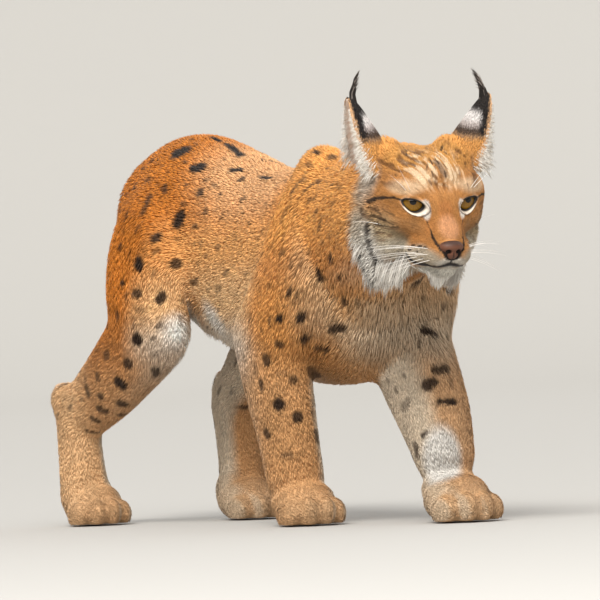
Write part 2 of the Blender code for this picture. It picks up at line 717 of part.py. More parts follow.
# Neck, tail and limbs
neck = slice_off(whole, "neck", (0.022, -0.262, 0.356), (-0.22, -0.95, 0.20))
made.append(neck)
locks = beard_locks(chance)
clear = grown(neck, "clear", GAP * 2)
for side in (1, -1):
    for piece in ruff_locks(side, chance):
        locks.append(combine(piece, clear, "DIFFERENCE"))
remove(clear)
fuse(head, locks)
tail_place = Matrix.Translation((0.018, 0.346, 0.352)) @ tilt(-24, 0, 0).to_4x4()
tail_outline = ((-0.06, -0.12), (0.06, -0.12), (0.06, 0.10), (-0.06, 0.10))
made.append(part_off(whole, "tail", tail_outline, 0.0, 0.2, tail_place))
for limb, outline, near, far, cuts in LIMBS:
    piece = part_off(whole, limb, outline, near, far)
    for upper, lower, point, direction in cuts:
        beyond = slice_off(piece, f"{limb}_{lower}", point, direction)
        keep_largest(piece)
        piece.name = f"{limb}_{upper}"
        made.append(piece)
        piece = beyond
    made.append(piece)
whole.name = "torso"
made.append(keep_largest(whole))

# Colours, and the origin at the middle of the box on the floor
for obj in made:
    if obj.name.startswith("eye"):
        colour(obj, "eye", (0.42, 0.20, 0.03), 0.1)
    elif obj.name == "nose":
        colour(obj, "nose leather", (0.10, 0.045, 0.035), 0.5)
    elif obj.name.startswith("ear"):
        colour(obj, "ear fur", (0.16, 0.12, 0.09), 0.9)
    else:
        colour(obj, "coat", (0.45, 0.24, 0.10), 0.9)
corners = [vertex.co for obj in made for vertex in obj.data.vertices]
low = Vector([min(c[i] for c in corners) for i in range(3)])
high = Vector([max(c[i] for c in corners) for i in range(3)])
middle = Vector(((low.x + high.x) / 2, (low.y + high.y) / 2, low.z))
for obj in made:
    obj.data.transform(Matrix.Translation(-middle))
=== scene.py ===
import math

import bmesh
import bpy
import numpy as np
from mathutils import Matrix, Vector
from mathutils.bvhtree import BVHTree
from mathutils.kdtree import KDTree


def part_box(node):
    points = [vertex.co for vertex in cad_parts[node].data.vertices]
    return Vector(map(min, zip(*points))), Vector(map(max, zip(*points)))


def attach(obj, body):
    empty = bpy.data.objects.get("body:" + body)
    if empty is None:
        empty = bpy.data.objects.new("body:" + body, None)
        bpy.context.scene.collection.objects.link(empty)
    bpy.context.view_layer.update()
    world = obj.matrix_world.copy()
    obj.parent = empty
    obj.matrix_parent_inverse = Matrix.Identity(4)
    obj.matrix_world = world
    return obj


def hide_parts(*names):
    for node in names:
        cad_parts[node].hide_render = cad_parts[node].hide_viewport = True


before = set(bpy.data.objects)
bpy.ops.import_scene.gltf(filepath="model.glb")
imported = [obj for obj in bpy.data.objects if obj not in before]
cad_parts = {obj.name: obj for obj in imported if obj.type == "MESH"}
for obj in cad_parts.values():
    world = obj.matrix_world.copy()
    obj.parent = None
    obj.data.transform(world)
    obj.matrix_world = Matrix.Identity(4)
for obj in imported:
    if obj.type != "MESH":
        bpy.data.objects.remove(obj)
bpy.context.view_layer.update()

# Skin: the hide of the whole animal, one closed surface over trunk, neck, legs, tail and head.
# It is made as solids laid along the body, melted into one, smoothed, and let down by the depth
# of the coat, so that the tips of the hair end where the solid part has its surface.
TRUNK = (
    (0.033, -0.232, 0.318, 0.064, 0.090),
    (0.044, -0.190, 0.306, 0.086, 0.130),
    (0.047, -0.115, 0.304, 0.097, 0.139),
    (0.051, -0.020, 0.306, 0.098, 0.130),
    (0.053, 0.074, 0.320, 0.093, 0.123),
    (0.048, 0.159, 0.346, 0.086, 0.123),
    (0.038, 0.235, 0.374, 0.085, 0.115),
    (0.025, 0.297, 0.372, 0.070, 0.097),
)
NECK = (
    (0.039, -0.190, 0.345, 0.082, 0.098),
    (0.024, -0.265, 0.356, 0.079, 0.092),
    (0.008, -0.330, 0.366, 0.073, 0.082),
    (-0.002, -0.387, 0.376, 0.064, 0.070),
)
TAIL = (
    (0.020, 0.330, 0.410, 0.030, 0.032),
    (0.017, 0.363, 0.385, 0.027, 0.028),
    (0.018, 0.388, 0.335, 0.027, 0.027),
    (0.021, 0.400, 0.290, 0.026, 0.026),
)
HIND_RIGHT = (
    ((0.003, 0.237, 0.408, 0.046, 0.068), (-0.025, 0.236, 0.350, 0.052, 0.090),
     (-0.050, 0.214, 0.288, 0.048, 0.082), (-0.063, 0.186, 0.245, 0.040, 0.058)),
    ((-0.060, 0.168, 0.252, 0.040, 0.060), (-0.069, 0.209, 0.223, 0.038, 0.060),
     (-0.083, 0.264, 0.180, 0.034, 0.051), (-0.096, 0.319, 0.144, 0.029, 0.040)),
    ((-0.099, 0.333, 0.150, 0.028, 0.034), (-0.100, 0.328, 0.090, 0.028, 0.031),
     (-0.100, 0.319, 0.035, 0.032, 0.031)),
)
HIND_LEFT = (
    ((0.095, 0.244, 0.415, 0.046, 0.074), (0.103, 0.228, 0.350, 0.050, 0.090),
     (0.105, 0.186, 0.290, 0.046, 0.076), (0.102, 0.148, 0.250, 0.040, 0.056)),
    ((0.101, 0.129, 0.262, 0.040, 0.055), (0.095, 0.167, 0.232, 0.037, 0.052),
     (0.088, 0.210, 0.190, 0.032, 0.044), (0.081, 0.245, 0.155, 0.028, 0.036)),
    ((0.080, 0.256, 0.152, 0.027, 0.032), (0.077, 0.237, 0.090, 0.027, 0.029),
     (0.072, 0.215, 0.035, 0.031, 0.030)),
)
FORE_RIGHT = (
    ((0.012, -0.158, 0.427, 0.034, 0.040), (-0.010, -0.166, 0.365, 0.044, 0.068),
     (-0.027, -0.157, 0.300, 0.046, 0.073), (-0.040, -0.116, 0.240, 0.044, 0.064)),
    ((-0.040, -0.098, 0.238, 0.044, 0.060), (-0.038, -0.110, 0.170, 0.040, 0.052),
     (-0.035, -0.125, 0.105, 0.036, 0.042), (-0.033, -0.134, 0.055, 0.035, 0.038)),
)
FORE_LEFT = (
    ((0.088, -0.150, 0.424, 0.034, 0.040), (0.105, -0.175, 0.360, 0.044, 0.066),
     (0.114, -0.190, 0.300, 0.046, 0.074), (0.111, -0.182, 0.240, 0.045, 0.064)),
    ((0.104, -0.166, 0.243, 0.050, 0.064), (0.094, -0.222, 0.183, 0.047, 0.060),
     (0.086, -0.276, 0.126, 0.042, 0.052), (0.080, -0.309, 0.078, 0.036, 0.040)),
)
LIMBS = (HIND_RIGHT, HIND_LEFT, FORE_RIGHT, FORE_LEFT)
HEELS = ((-0.108, 0.350, 0.160), (0.081, 0.269, 0.168))
PAWS = (
    (-0.094, 0.307, -8, 1.0),
    (0.069, 0.196, 2, 1.0),
    (-0.032, -0.155, -8, 1.05),
    (0.077, -0.345, -4, 1.08),
)
SKIN_VOXEL = 0.0027
SOLID_VOXEL = 0.0036
HEAD_AT = Vector((0.005, -0.456, 0.381))
HEAD_PITCH = 16
HEAD_YAW = -7
EYE_OUT = 0.031
EYE_RADIUS = 0.0145
EYE_BROAD = 1.13
LID_OPENING = (0.0119, 0.0086)
LID_TURN = 7
EAR_WALL = 0.0042
FLESH = [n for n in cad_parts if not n.startswith(("eye", "ear", "nose"))]


def tilt(angle_x=0.0, angle_y=0.0, angle_z=0.0):
    """A turn about X, then Y, then Z, in degrees."""
    x, y, z = (math.radians(a) for a in (angle_x, angle_y, angle_z))
    return Matrix.Rotation(z, 3, "Z") @ Matrix.Rotation(y, 3, "Y") @ Matrix.Rotation(x, 3, "X")


HEAD_TURN = tilt(0, 0, HEAD_YAW) @ tilt(HEAD_PITCH, 0, 0)


def head_point(forward, left, up):
    return HEAD_AT + HEAD_TURN @ Vector((left, -forward, up))


# From the animal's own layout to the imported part's place: both know the middle of the left eye
eye_low, eye_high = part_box("eye_left")
SHIFT = np.array((eye_low + eye_high) / 2 - head_point(0, EYE_OUT, 0))


def smooth_path(points, steps):
    """Places read from a smooth curve through the given ones, with any radii that follow each place."""
    full = [points[0], *points, points[-1]]
    found = []
    for i in range(1, len(full) - 2):
        a, b, c, d = (Vector(full[i + k]) for k in (-1, 0, 1, 2))
        for s in range(steps):
            t = s / steps
            bend = (2 * a - 5 * b + 4 * c - d) * t**2 + (3 * b - a - 3 * c + d) * t**3
            found.append(0.5 * (2 * b + (c - a) * t + bend))
    found.append(Vector(full[-2]))
    return found


def loft(bm, stations, side=(1, 0, 0), steps=4, around=24):
    """A closed tube with rounded ends along stations: x, y, z, half width along side, half depth across it."""
    rings = smooth_path(stations, steps)
    centres = [Vector(s[:3]) for s in rings]
    rows = []
    for i, station in enumerate(rings):
        ahead = centres[min(i + 1, len(rings) - 1)] - centres[max(i - 1, 0)]
        along = ahead.normalized()
        across = (Vector(side) - along * along.dot(Vector(side))).normalized()
        rows.append((centres[i], across, along.cross(across), station[3], station[4], along))
    cap = ((0.97, 0.25), (0.8, 0.6), (0.45, 0.89))
    c, a, b, w, h, g = rows[0]
    start = [(c - g * min(w, h) * lift, a, b, w * k, h * k, g) for lift, k in cap]
    c, a, b, w, h, g = rows[-1]
    end = [(c + g * min(w, h) * lift, a, b, w * k, h * k, g) for lift, k in reversed(cap)]
    loops = []
    for c, a, b, w, h, g in start + rows + end:
        turn = [2 * math.pi * j / around for j in range(around)]
        loops.append([bm.verts.new(c + a * w * math.cos(t) + b * h * math.sin(t)) for t in turn])
    for low, high in zip(loops, loops[1:]):
        for j in range(around):
            k = (j + 1) % around
            bm.faces.new((low[j], low[k], high[k], high[j]))
    bm.faces.new(list(reversed(loops[0])))
    bm.faces.new(loops[-1])


def muscle(bm, centre, radii, turn=Matrix.Identity(3), subdivisions=4):
    """An ellipsoid with its radii along the columns of turn."""
    place = Matrix.Translation(centre) @ turn.to_4x4() @ Matrix.Diagonal((*radii, 1.0))
    bmesh.ops.create_icosphere(bm, subdivisions=subdivisions, radius=1.0, matrix=place)


def paw(bm, x, y, heading, scale):
    """A broad padded paw with four toes, its sole just under the floor."""
    turn = tilt(0, 0, heading)
    for place, radii in (
        ((0.0, 0.006, 0.026), (0.036, 0.044, 0.030)),
        ((0.0, 0.024, 0.036), (0.031, 0.030, 0.036)),
        ((-0.0275, -0.020, 0.014), (0.0125, 0.026, 0.018)),
        ((-0.0098, -0.034, 0.016), (0.0128, 0.027, 0.020)),
        ((0.0098, -0.034, 0.016), (0.0128, 0.027, 0.020)),
        ((0.0275, -0.020, 0.014), (0.0125, 0.026, 0.018)),
    ):
        centre = Vector((x, y, 0.0)) + turn @ Vector(place) * scale
        muscle(bm, centre, [r * scale for r in radii], turn)


def head_solid(bm, forward, left, up, long, wide, high, pitch=0, yaw=0, roll=0):
    """An ellipsoid in the head's frame, on both sides when it lies off the middle."""
    for side in (1, -1) if left else (1,):
        turn = HEAD_TURN @ tilt(0, roll * side, yaw * side) @ tilt(pitch, 0, 0)
        muscle(bm, head_point(forward, left * side, up), (wide, long, high), turn)


def head_loft(bm, stations):
    """A tube along the head's forward axis: forward, left, up, half width, half height."""
    loft(bm, [(*head_point(*s[:3]), *s[3:]) for s in stations], side=HEAD_TURN @ Vector((1, 0, 0)))


def lay_body(bm):
    for stations in (TRUNK, NECK, TAIL, *(piece for limb in LIMBS for piece in limb)):
        loft(bm, stations)
    for place in HEELS:
        muscle(bm, place, (0.020, 0.023, 0.026))
    for place in PAWS:
        paw(bm, *place)


def lay_head(bm):
    """Skull, muzzle, brow, cheeks and jaw."""
    head_loft(bm, (
        (-0.130, 0, -0.019, 0.064, 0.057),
        (-0.090, 0, -0.011, 0.066, 0.056),
        (-0.055, 0, -0.007, 0.063, 0.056),
        (-0.025, 0, -0.011, 0.057, 0.054),
        (-0.004, 0, -0.017, 0.046, 0.040),
    ))
    head_loft(bm, (
        (-0.010, 0, -0.022, 0.036, 0.036),
        (0.012, 0, -0.032, 0.029, 0.034),
        (0.032, 0, -0.040, 0.024, 0.028),
        (0.044, 0, -0.046, 0.019, 0.020),
    ))
    head_solid(bm, 0.006, 0, -0.006, 0.032, 0.017, 0.020, pitch=38)
    head_solid(bm, 0.032, 0, -0.026, 0.028, 0.016, 0.016, pitch=36)
    head_solid(bm, 0.0405, 0.0135, -0.052, 0.0215, 0.0165, 0.0165, yaw=-12)
    head_solid(bm, 0.020, 0.024, -0.055, 0.026, 0.014, 0.017, yaw=-24)
    head_solid(bm, 0.030, 0, -0.071, 0.022, 0.017, 0.0135)
    head_solid(bm, 0.004, 0, -0.066, 0.036, 0.033, 0.021)
    head_solid(bm, -0.018, 0.039, -0.016, 0.038, 0.026, 0.027, yaw=-22)
    head_solid(bm, -0.022, 0.045, 0.004, 0.034, 0.023, 0.028, yaw=-14)
    head_solid(bm, -0.046, 0.043, -0.044, 0.040, 0.027, 0.044)
    head_solid(bm, -0.002, 0.0295, 0.013, 0.020, 0.019, 0.0095, yaw=-26)
    head_solid(bm, 0.0, 0.0315, 0.0, 0.0168, 0.0180, 0.0168)
    head_solid(bm, -0.075, 0.046, -0.055, 0.034, 0.028, 0.056, roll=8)
    head_solid(bm, -0.062, 0.048, -0.092, 0.026, 0.017, 0.034, roll=12)
    head_solid(bm, -0.066, 0.045, 0.036, 0.033, 0.029, 0.025, roll=38)
    head_solid(bm, -0.040, 0, 0.020, 0.050, 0.045, 0.029)


def melted(fill, voxel):
    """One closed even surface over overlapping solids."""
    bm = bmesh.new()
    fill(bm)
    mesh = bpy.data.meshes.new("solids")
    bm.to_mesh(mesh)
    bm.free()
    obj = bpy.data.objects.new("solids", mesh)
    bpy.context.scene.collection.objects.link(obj)
    remesh = obj.modifiers.new("melt", "REMESH")
    remesh.mode = "VOXEL"
    remesh.voxel_size = voxel
    mesh = bpy.data.meshes.new_from_object(obj.evaluated_get(bpy.context.evaluated_depsgraph_get()))
    bpy.data.objects.remove(obj)
    return mesh


def read(collection, field, width, kind=np.float64):
    """One field of every element of a mesh, as rows of numbers."""
    values = np.empty(len(collection) * width, kind)
    collection.foreach_get(field, values)
    return values.reshape(-1, width)


def smoothed(points, edges, passes):
    """Points drawn towards their neighbours, with a number of passes for each."""
    count = np.bincount(edges.ravel(), minlength=len(points))[:, None]
    for step in range(int(np.ceil(passes.max()))):
        total = np.empty_like(points)
        for axis in range(3):
            total[:, axis] = np.bincount(edges[:, 0], points[edges[:, 1], axis], len(points))
            total[:, axis] += np.bincount(edges[:, 1], points[edges[:, 0], axis], len(points))
        part = np.clip(passes - step, 0.0, 1.0)[:, None]
        points = points + 0.6 * part * (total / count - points)
    return points


def ramp(values, start, end):
    """Runs smoothly from 0 at start to 1 at end."""
    t = np.clip((values - start) / (end - start), 0.0, 1.0)
    return t * t * (3 - 2 * t)


def unit(vectors):
    return vectors / np.maximum(np.linalg.norm(vectors, axis=1, keepdims=True), 1e-9)


def in_head(points):
    """Places in the head's frame, as forward, left and up."""
    local = (points - np.array(HEAD_AT)) @ np.array(HEAD_TURN)
    return np.stack((-local[:, 1], local[:, 0], local[:, 2]), axis=1)


def lay_all(bm):
    lay_body(bm)
    lay_head(bm)


skin_mesh = melted(lay_all, SKIN_VOXEL)
outer = read(skin_mesh.vertices, "co", 3)
edges = read(skin_mesh.edges, "vertices", 2, np.int64)
face_near = np.linalg.norm((outer - np.array(head_point(0.022, 0, -0.026))) / 0.066, axis=1)
head_near = np.linalg.norm((outer - np.array(head_point(-0.04, 0, 0.0))) / 0.13, axis=1)
passes = 3.0 + 13.0 * np.clip((face_near - 0.8) / 0.5, 0, 1) + 24.0 * np.clip((head_near - 0.9) / 0.6, 0, 1)
passes = np.minimum(passes, 3.0 + 37.0 * np.clip((outer[:, 2] - 0.05) / 0.14, 0, 1))
withers = np.linalg.norm((outer - np.array((0.030, -0.105, 0.418))) / np.array((0.065, 0.070, 0.045)), axis=1)
passes += 16.0 * np.clip(1.4 - withers, 0, 1)
nape = np.linalg.norm((outer - np.array((0.015, -0.205, 0.425))) / np.array((0.055, 0.055, 0.045)), axis=1)
passes += 34.0 * np.clip(1.4 - nape, 0, 1)
outer = smoothed(outer, edges, passes * (SOLID_VOXEL / SKIN_VOXEL) ** 2)
outer[:, 2] = np.maximum(outer[:, 2], 0.0012)
skin_mesh.vertices.foreach_set("co", outer.ravel())
skin_mesh.update()
normals = read(skin_mesh.vertex_normals, "vector", 3)

# The lie of the coat. Each stretch of the body says which way its hair runs, and how long (m), how lifted
# (degrees) and how broad (m) its tufts are. A place takes the mean of the stretches that are near it.
stretches = []


def hair_along(stations, long, lift, wide, backwards=False):
    stations = list(reversed(stations)) if backwards else stations
    for a, b in zip(stations, stations[1:]):
        radius = (a[3] + a[4] + b[3] + b[4]) / 4
        stretches.append((a[:3], b[:3], radius, long, lift, wide))


hair_along(TRUNK, 0.0135, 14, 0.00125)
hair_along(NECK, 0.0140, 14, 0.00125, backwards=True)
hair_along(TAIL, 0.0170, 24, 0.00140)
for upper, middle, lower in (HIND_RIGHT, HIND_LEFT):
    hair_along(upper, 0.0130, 14, 0.00125)
    hair_along(middle, 0.0105, 14, 0.00118)
    hair_along(lower, 0.0085, 14, 0.00115)
for upper, lower in (FORE_RIGHT, FORE_LEFT):
    hair_along(upper, 0.0120, 14, 0.00120)
    hair_along(lower, 0.0095, 14, 0.00112)
for x, y, heading, scale in PAWS:
    ahead = tilt(0, 0, heading) @ Vector((0, -0.05 * scale, 0))
    toe = (x + ahead.x, y + ahead.y, 0.010, 0.03, 0.03)
    hair_along(((x - ahead.x * 0.3, y - ahead.y * 0.3, 0.050, 0.03, 0.03), toe), 0.0062, 14, 0.00100)


def blob(points, centre, radii, soft=0.5):
    """1 inside an ellipsoid, running out to 0 over a soft edge."""
    away = np.linalg.norm((points - np.array(centre)) / np.array(radii), axis=1)
    return ramp(away, 1 + soft / 2, 1 - soft / 2)


def head_way(ways):
    """Directions of the head's frame, forward, left and up, as directions of the animal's layout."""
    return np.stack((ways[:, 1], -ways[:, 0], ways[:, 2]), axis=1) @ np.array(HEAD_TURN).T


def head_share(local):
    """1 on the head and its ruff, running out to 0 on the neck."""
    skull = blob(local, (-0.030, 0, -0.010), (0.092, 0.088, 0.080), 0.22)
    muzzle = blob(local, (0.035, 0, -0.050), (0.052, 0.052, 0.050), 0.22)
    return np.maximum(np.maximum(skull, muzzle), blob(local, (-0.052, 0, -0.062), (0.052, 0.096, 0.082), 0.22))


def almond(points, side):
    """How far a place lies from the middle of a lid opening, as a share of the opening, in front of the eye."""
    turn = np.array(HEAD_TURN @ tilt(0, 0, LID_TURN * side))
    local = (points - np.array(head_point(0, EYE_OUT * side, 0))) @ turn
    across = (local[:, 0] - 0.0012 * side) / LID_OPENING[0]
    height = (local[:, 2] - 0.20 * local[:, 0] * side - 0.0004) / LID_OPENING[1]
    share = np.sqrt(across**2 + height**2)
    bulge = 1 - 0.30 * (across / np.maximum(share, 1e-6)) ** 2
    share = np.sqrt(across**2 + (height / bulge) ** 2)
    hood = 1 - 0.36 * np.clip(height / np.maximum(share, 1e-6), 0, 1) ** 0.7 * np.clip((1.45 - share) / 0.45, 0, 1)
    share = np.sqrt(across**2 + (height / bulge / hood) ** 2)
    return np.where(local[:, 1] < 0.004, share, 9.0)


def coat_lie(points, facing):
    """For each place on the surface: the way the hair runs, its length, lift and the tufts' breadth."""
    total = np.zeros(len(points))
    flow = np.zeros((len(points), 3))
    sizes = np.zeros((len(points), 3))
    for a, b, radius, *size in stretches:
        a, b = np.array(a), np.array(b)
        along = b - a
        t = np.clip((points - a) @ along / (along @ along), 0, 1)
        off = np.linalg.norm(points - a - t[:, None] * along, axis=1) / radius
        weight = 1.0 / (off**2 + 0.05) ** 4
        total += weight
        flow += weight[:, None] * along / np.linalg.norm(along)
        sizes += weight[:, None] * np.array(size)
    flow /= total[:, None]
    sizes /= total[:, None]
    long, lift, wide = sizes.T
    # Trunk and chest: the hair hangs back and down, longest under the belly, on the breast and behind the thighs
    trunk = ramp(points[:, 2], 0.17, 0.24)
    flow[:, 2] -= 0.38 * trunk * (1 - np.abs(facing[:, 2]))
    below = trunk * ramp(-facing[:, 2], 0.1, 0.8) * ramp(points[:, 1], 0.26, 0.20)
    breast = ramp(points[:, 1], -0.14, -0.20) * ramp(-facing[:, 1], 0.1, 0.7) * ramp(points[:, 2], 0.13, 0.20)
    breast *= ramp(points[:, 2], 0.40, 0.32)
    behind = ramp(points[:, 1], 0.10, 0.16) * ramp(facing[:, 1], 0.5, 0.9) * ramp(points[:, 2], 0.10, 0.18)
    extra = np.maximum(np.maximum(0.9 * below, 0.45 * breast), 0.30 * behind)
    long = long * (1 + extra)
    lift = lift + 9 * extra
    flow[:, 2] -= 0.8 * np.maximum(below, breast)
    # Over the withers and the croup it runs straight back
    ridge = ramp(points[:, 2], 0.36, 0.43) * ramp(facing[:, 2], 0.1, 0.6) * ramp(points[:, 1], -0.30, -0.24)
    flow += (ridge * ramp(points[:, 1], 0.31, 0.25))[:, None] * (np.array((0.0, 1.0, 0.0)) - flow)
    # Head: short and fine on the muzzle, longer to the crown and down the cheeks
    local = in_head(points)
    forward, left, up = local.T
    on_head = head_share(local)
    from_nose = points - np.array(head_point(0.075, 0, -0.047))
    cheek = ramp(np.abs(left), 0.030, 0.050) * ramp(-forward, -0.010, 0.035) * ramp(-up, -0.015, 0.035)
    head_flow = unit(from_nose) + cheek[:, None] * np.array(HEAD_TURN @ Vector((0, 0.5, -1.1)))
    chin = ramp(-up, 0.066, 0.076) * ramp(forward, -0.03, 0.01)
    head_flow += chin[:, None] * np.array(HEAD_TURN @ Vector((0, 0.2, -0.8)))
    # Up the backs of the ears from the crown, and long and hanging below the ears' outer sides
    ear_root = blob(np.abs(local), (0.062, 0.048, 0.060), (0.030, 0.024, 0.020), 0.8) * ramp(up, 0.030, 0.045)
    rising = np.stack((np.full(len(points), -0.5), np.sign(left) * 0.6, np.full(len(points), 1.0)), axis=1)
    head_flow += (0.9 * ear_root)[:, None] * head_way(rising)
    under_ear = blob(np.abs(local) * np.array((1, 1, 0)) + local * np.array((0, 0, 1)), (0.064, 0.078, 0.026),
                     (0.030, 0.024, 0.030), 0.8)
    head_flow += (1.5 * under_ear)[:, None] * np.array(HEAD_TURN @ Vector((0, 0.3, -1.0)))
    head_long = 0.0034 + 0.0066 * ramp(-forward, -0.010, 0.090) + 0.0070 * cheek + 0.0040 * chin
    head_long = head_long * (1 - 0.30 * ear_root) + 0.0070 * under_ear
    # Parted round each eye, and very short there
    for side in (1, -1):
        ring = almond(points, side)
        out = unit(points - np.array(head_point(0, EYE_OUT * side, 0)))
        head_flow += (2.2 * ramp(ring, 2.1, 1.4))[:, None] * out
        head_long = head_long * (0.42 + 0.58 * ramp(ring, 1.3, 2.4))
    head_wide = 0.00058 + 0.00046 * ramp(-forward, -0.025, 0.070)
    head_lift = 14 + 4 * ramp(-forward, 0.0, 0.06) + 8 * np.maximum(np.maximum(cheek, chin), under_ear)
    flow += on_head[:, None] * (head_flow - flow)
    long = long + on_head * (head_long - long)
    lift = lift + on_head * (head_lift - lift)
    wide = wide + on_head * (head_wide - wide)
    flow -= facing * (flow * facing).sum(1)[:, None]
    return unit(flow), long, lift, wide


def rise(long, lift):
    """How far above its root the tip of a bowed tuft stands."""
    lift = np.radians(lift)
    return long * (0.4 * np.sin(1.6 * lift) + 0.6 * np.sin(0.4 * lift))


flow, long, lift, wide = coat_lie(outer, normals)


to_eye = np.minimum(almond(outer, 1), almond(outer, -1))
skin = outer - normals * (0.92 * rise(long, lift))[:, None]
skin_quads = read(skin_mesh.loops, "vertex_index", 1, np.int64).reshape(-1, 4)
face_quads = [tuple(int(i) for i in quad) for quad in skin_quads]
skin_tree = BVHTree.FromPolygons([Vector(place) for place in skin], face_quads)
rooted = skin
for side in (1, -1):
    turn = np.array(HEAD_TURN @ tilt(0, 0, LID_TURN * side))
    centre = np.array(head_point(0, EYE_OUT * side, 0))
    place = (skin - centre) @ turn
    ball = -np.sqrt(np.maximum(EYE_RADIUS**2 - (place[:, 0] / EYE_BROAD) ** 2 - place[:, 2] ** 2, 0))
    socket = ramp(almond(outer, side), 1.46, 1.20)
    place[:, 1] += socket * np.maximum(ball + 0.0035 - place[:, 1], 0)
    skin = centre + place @ turn.T
skin[:, 2] = np.maximum(skin[:, 2], 0.0020)
skin_mesh.vertices.foreach_set("co", skin.ravel())
skin_mesh.update()

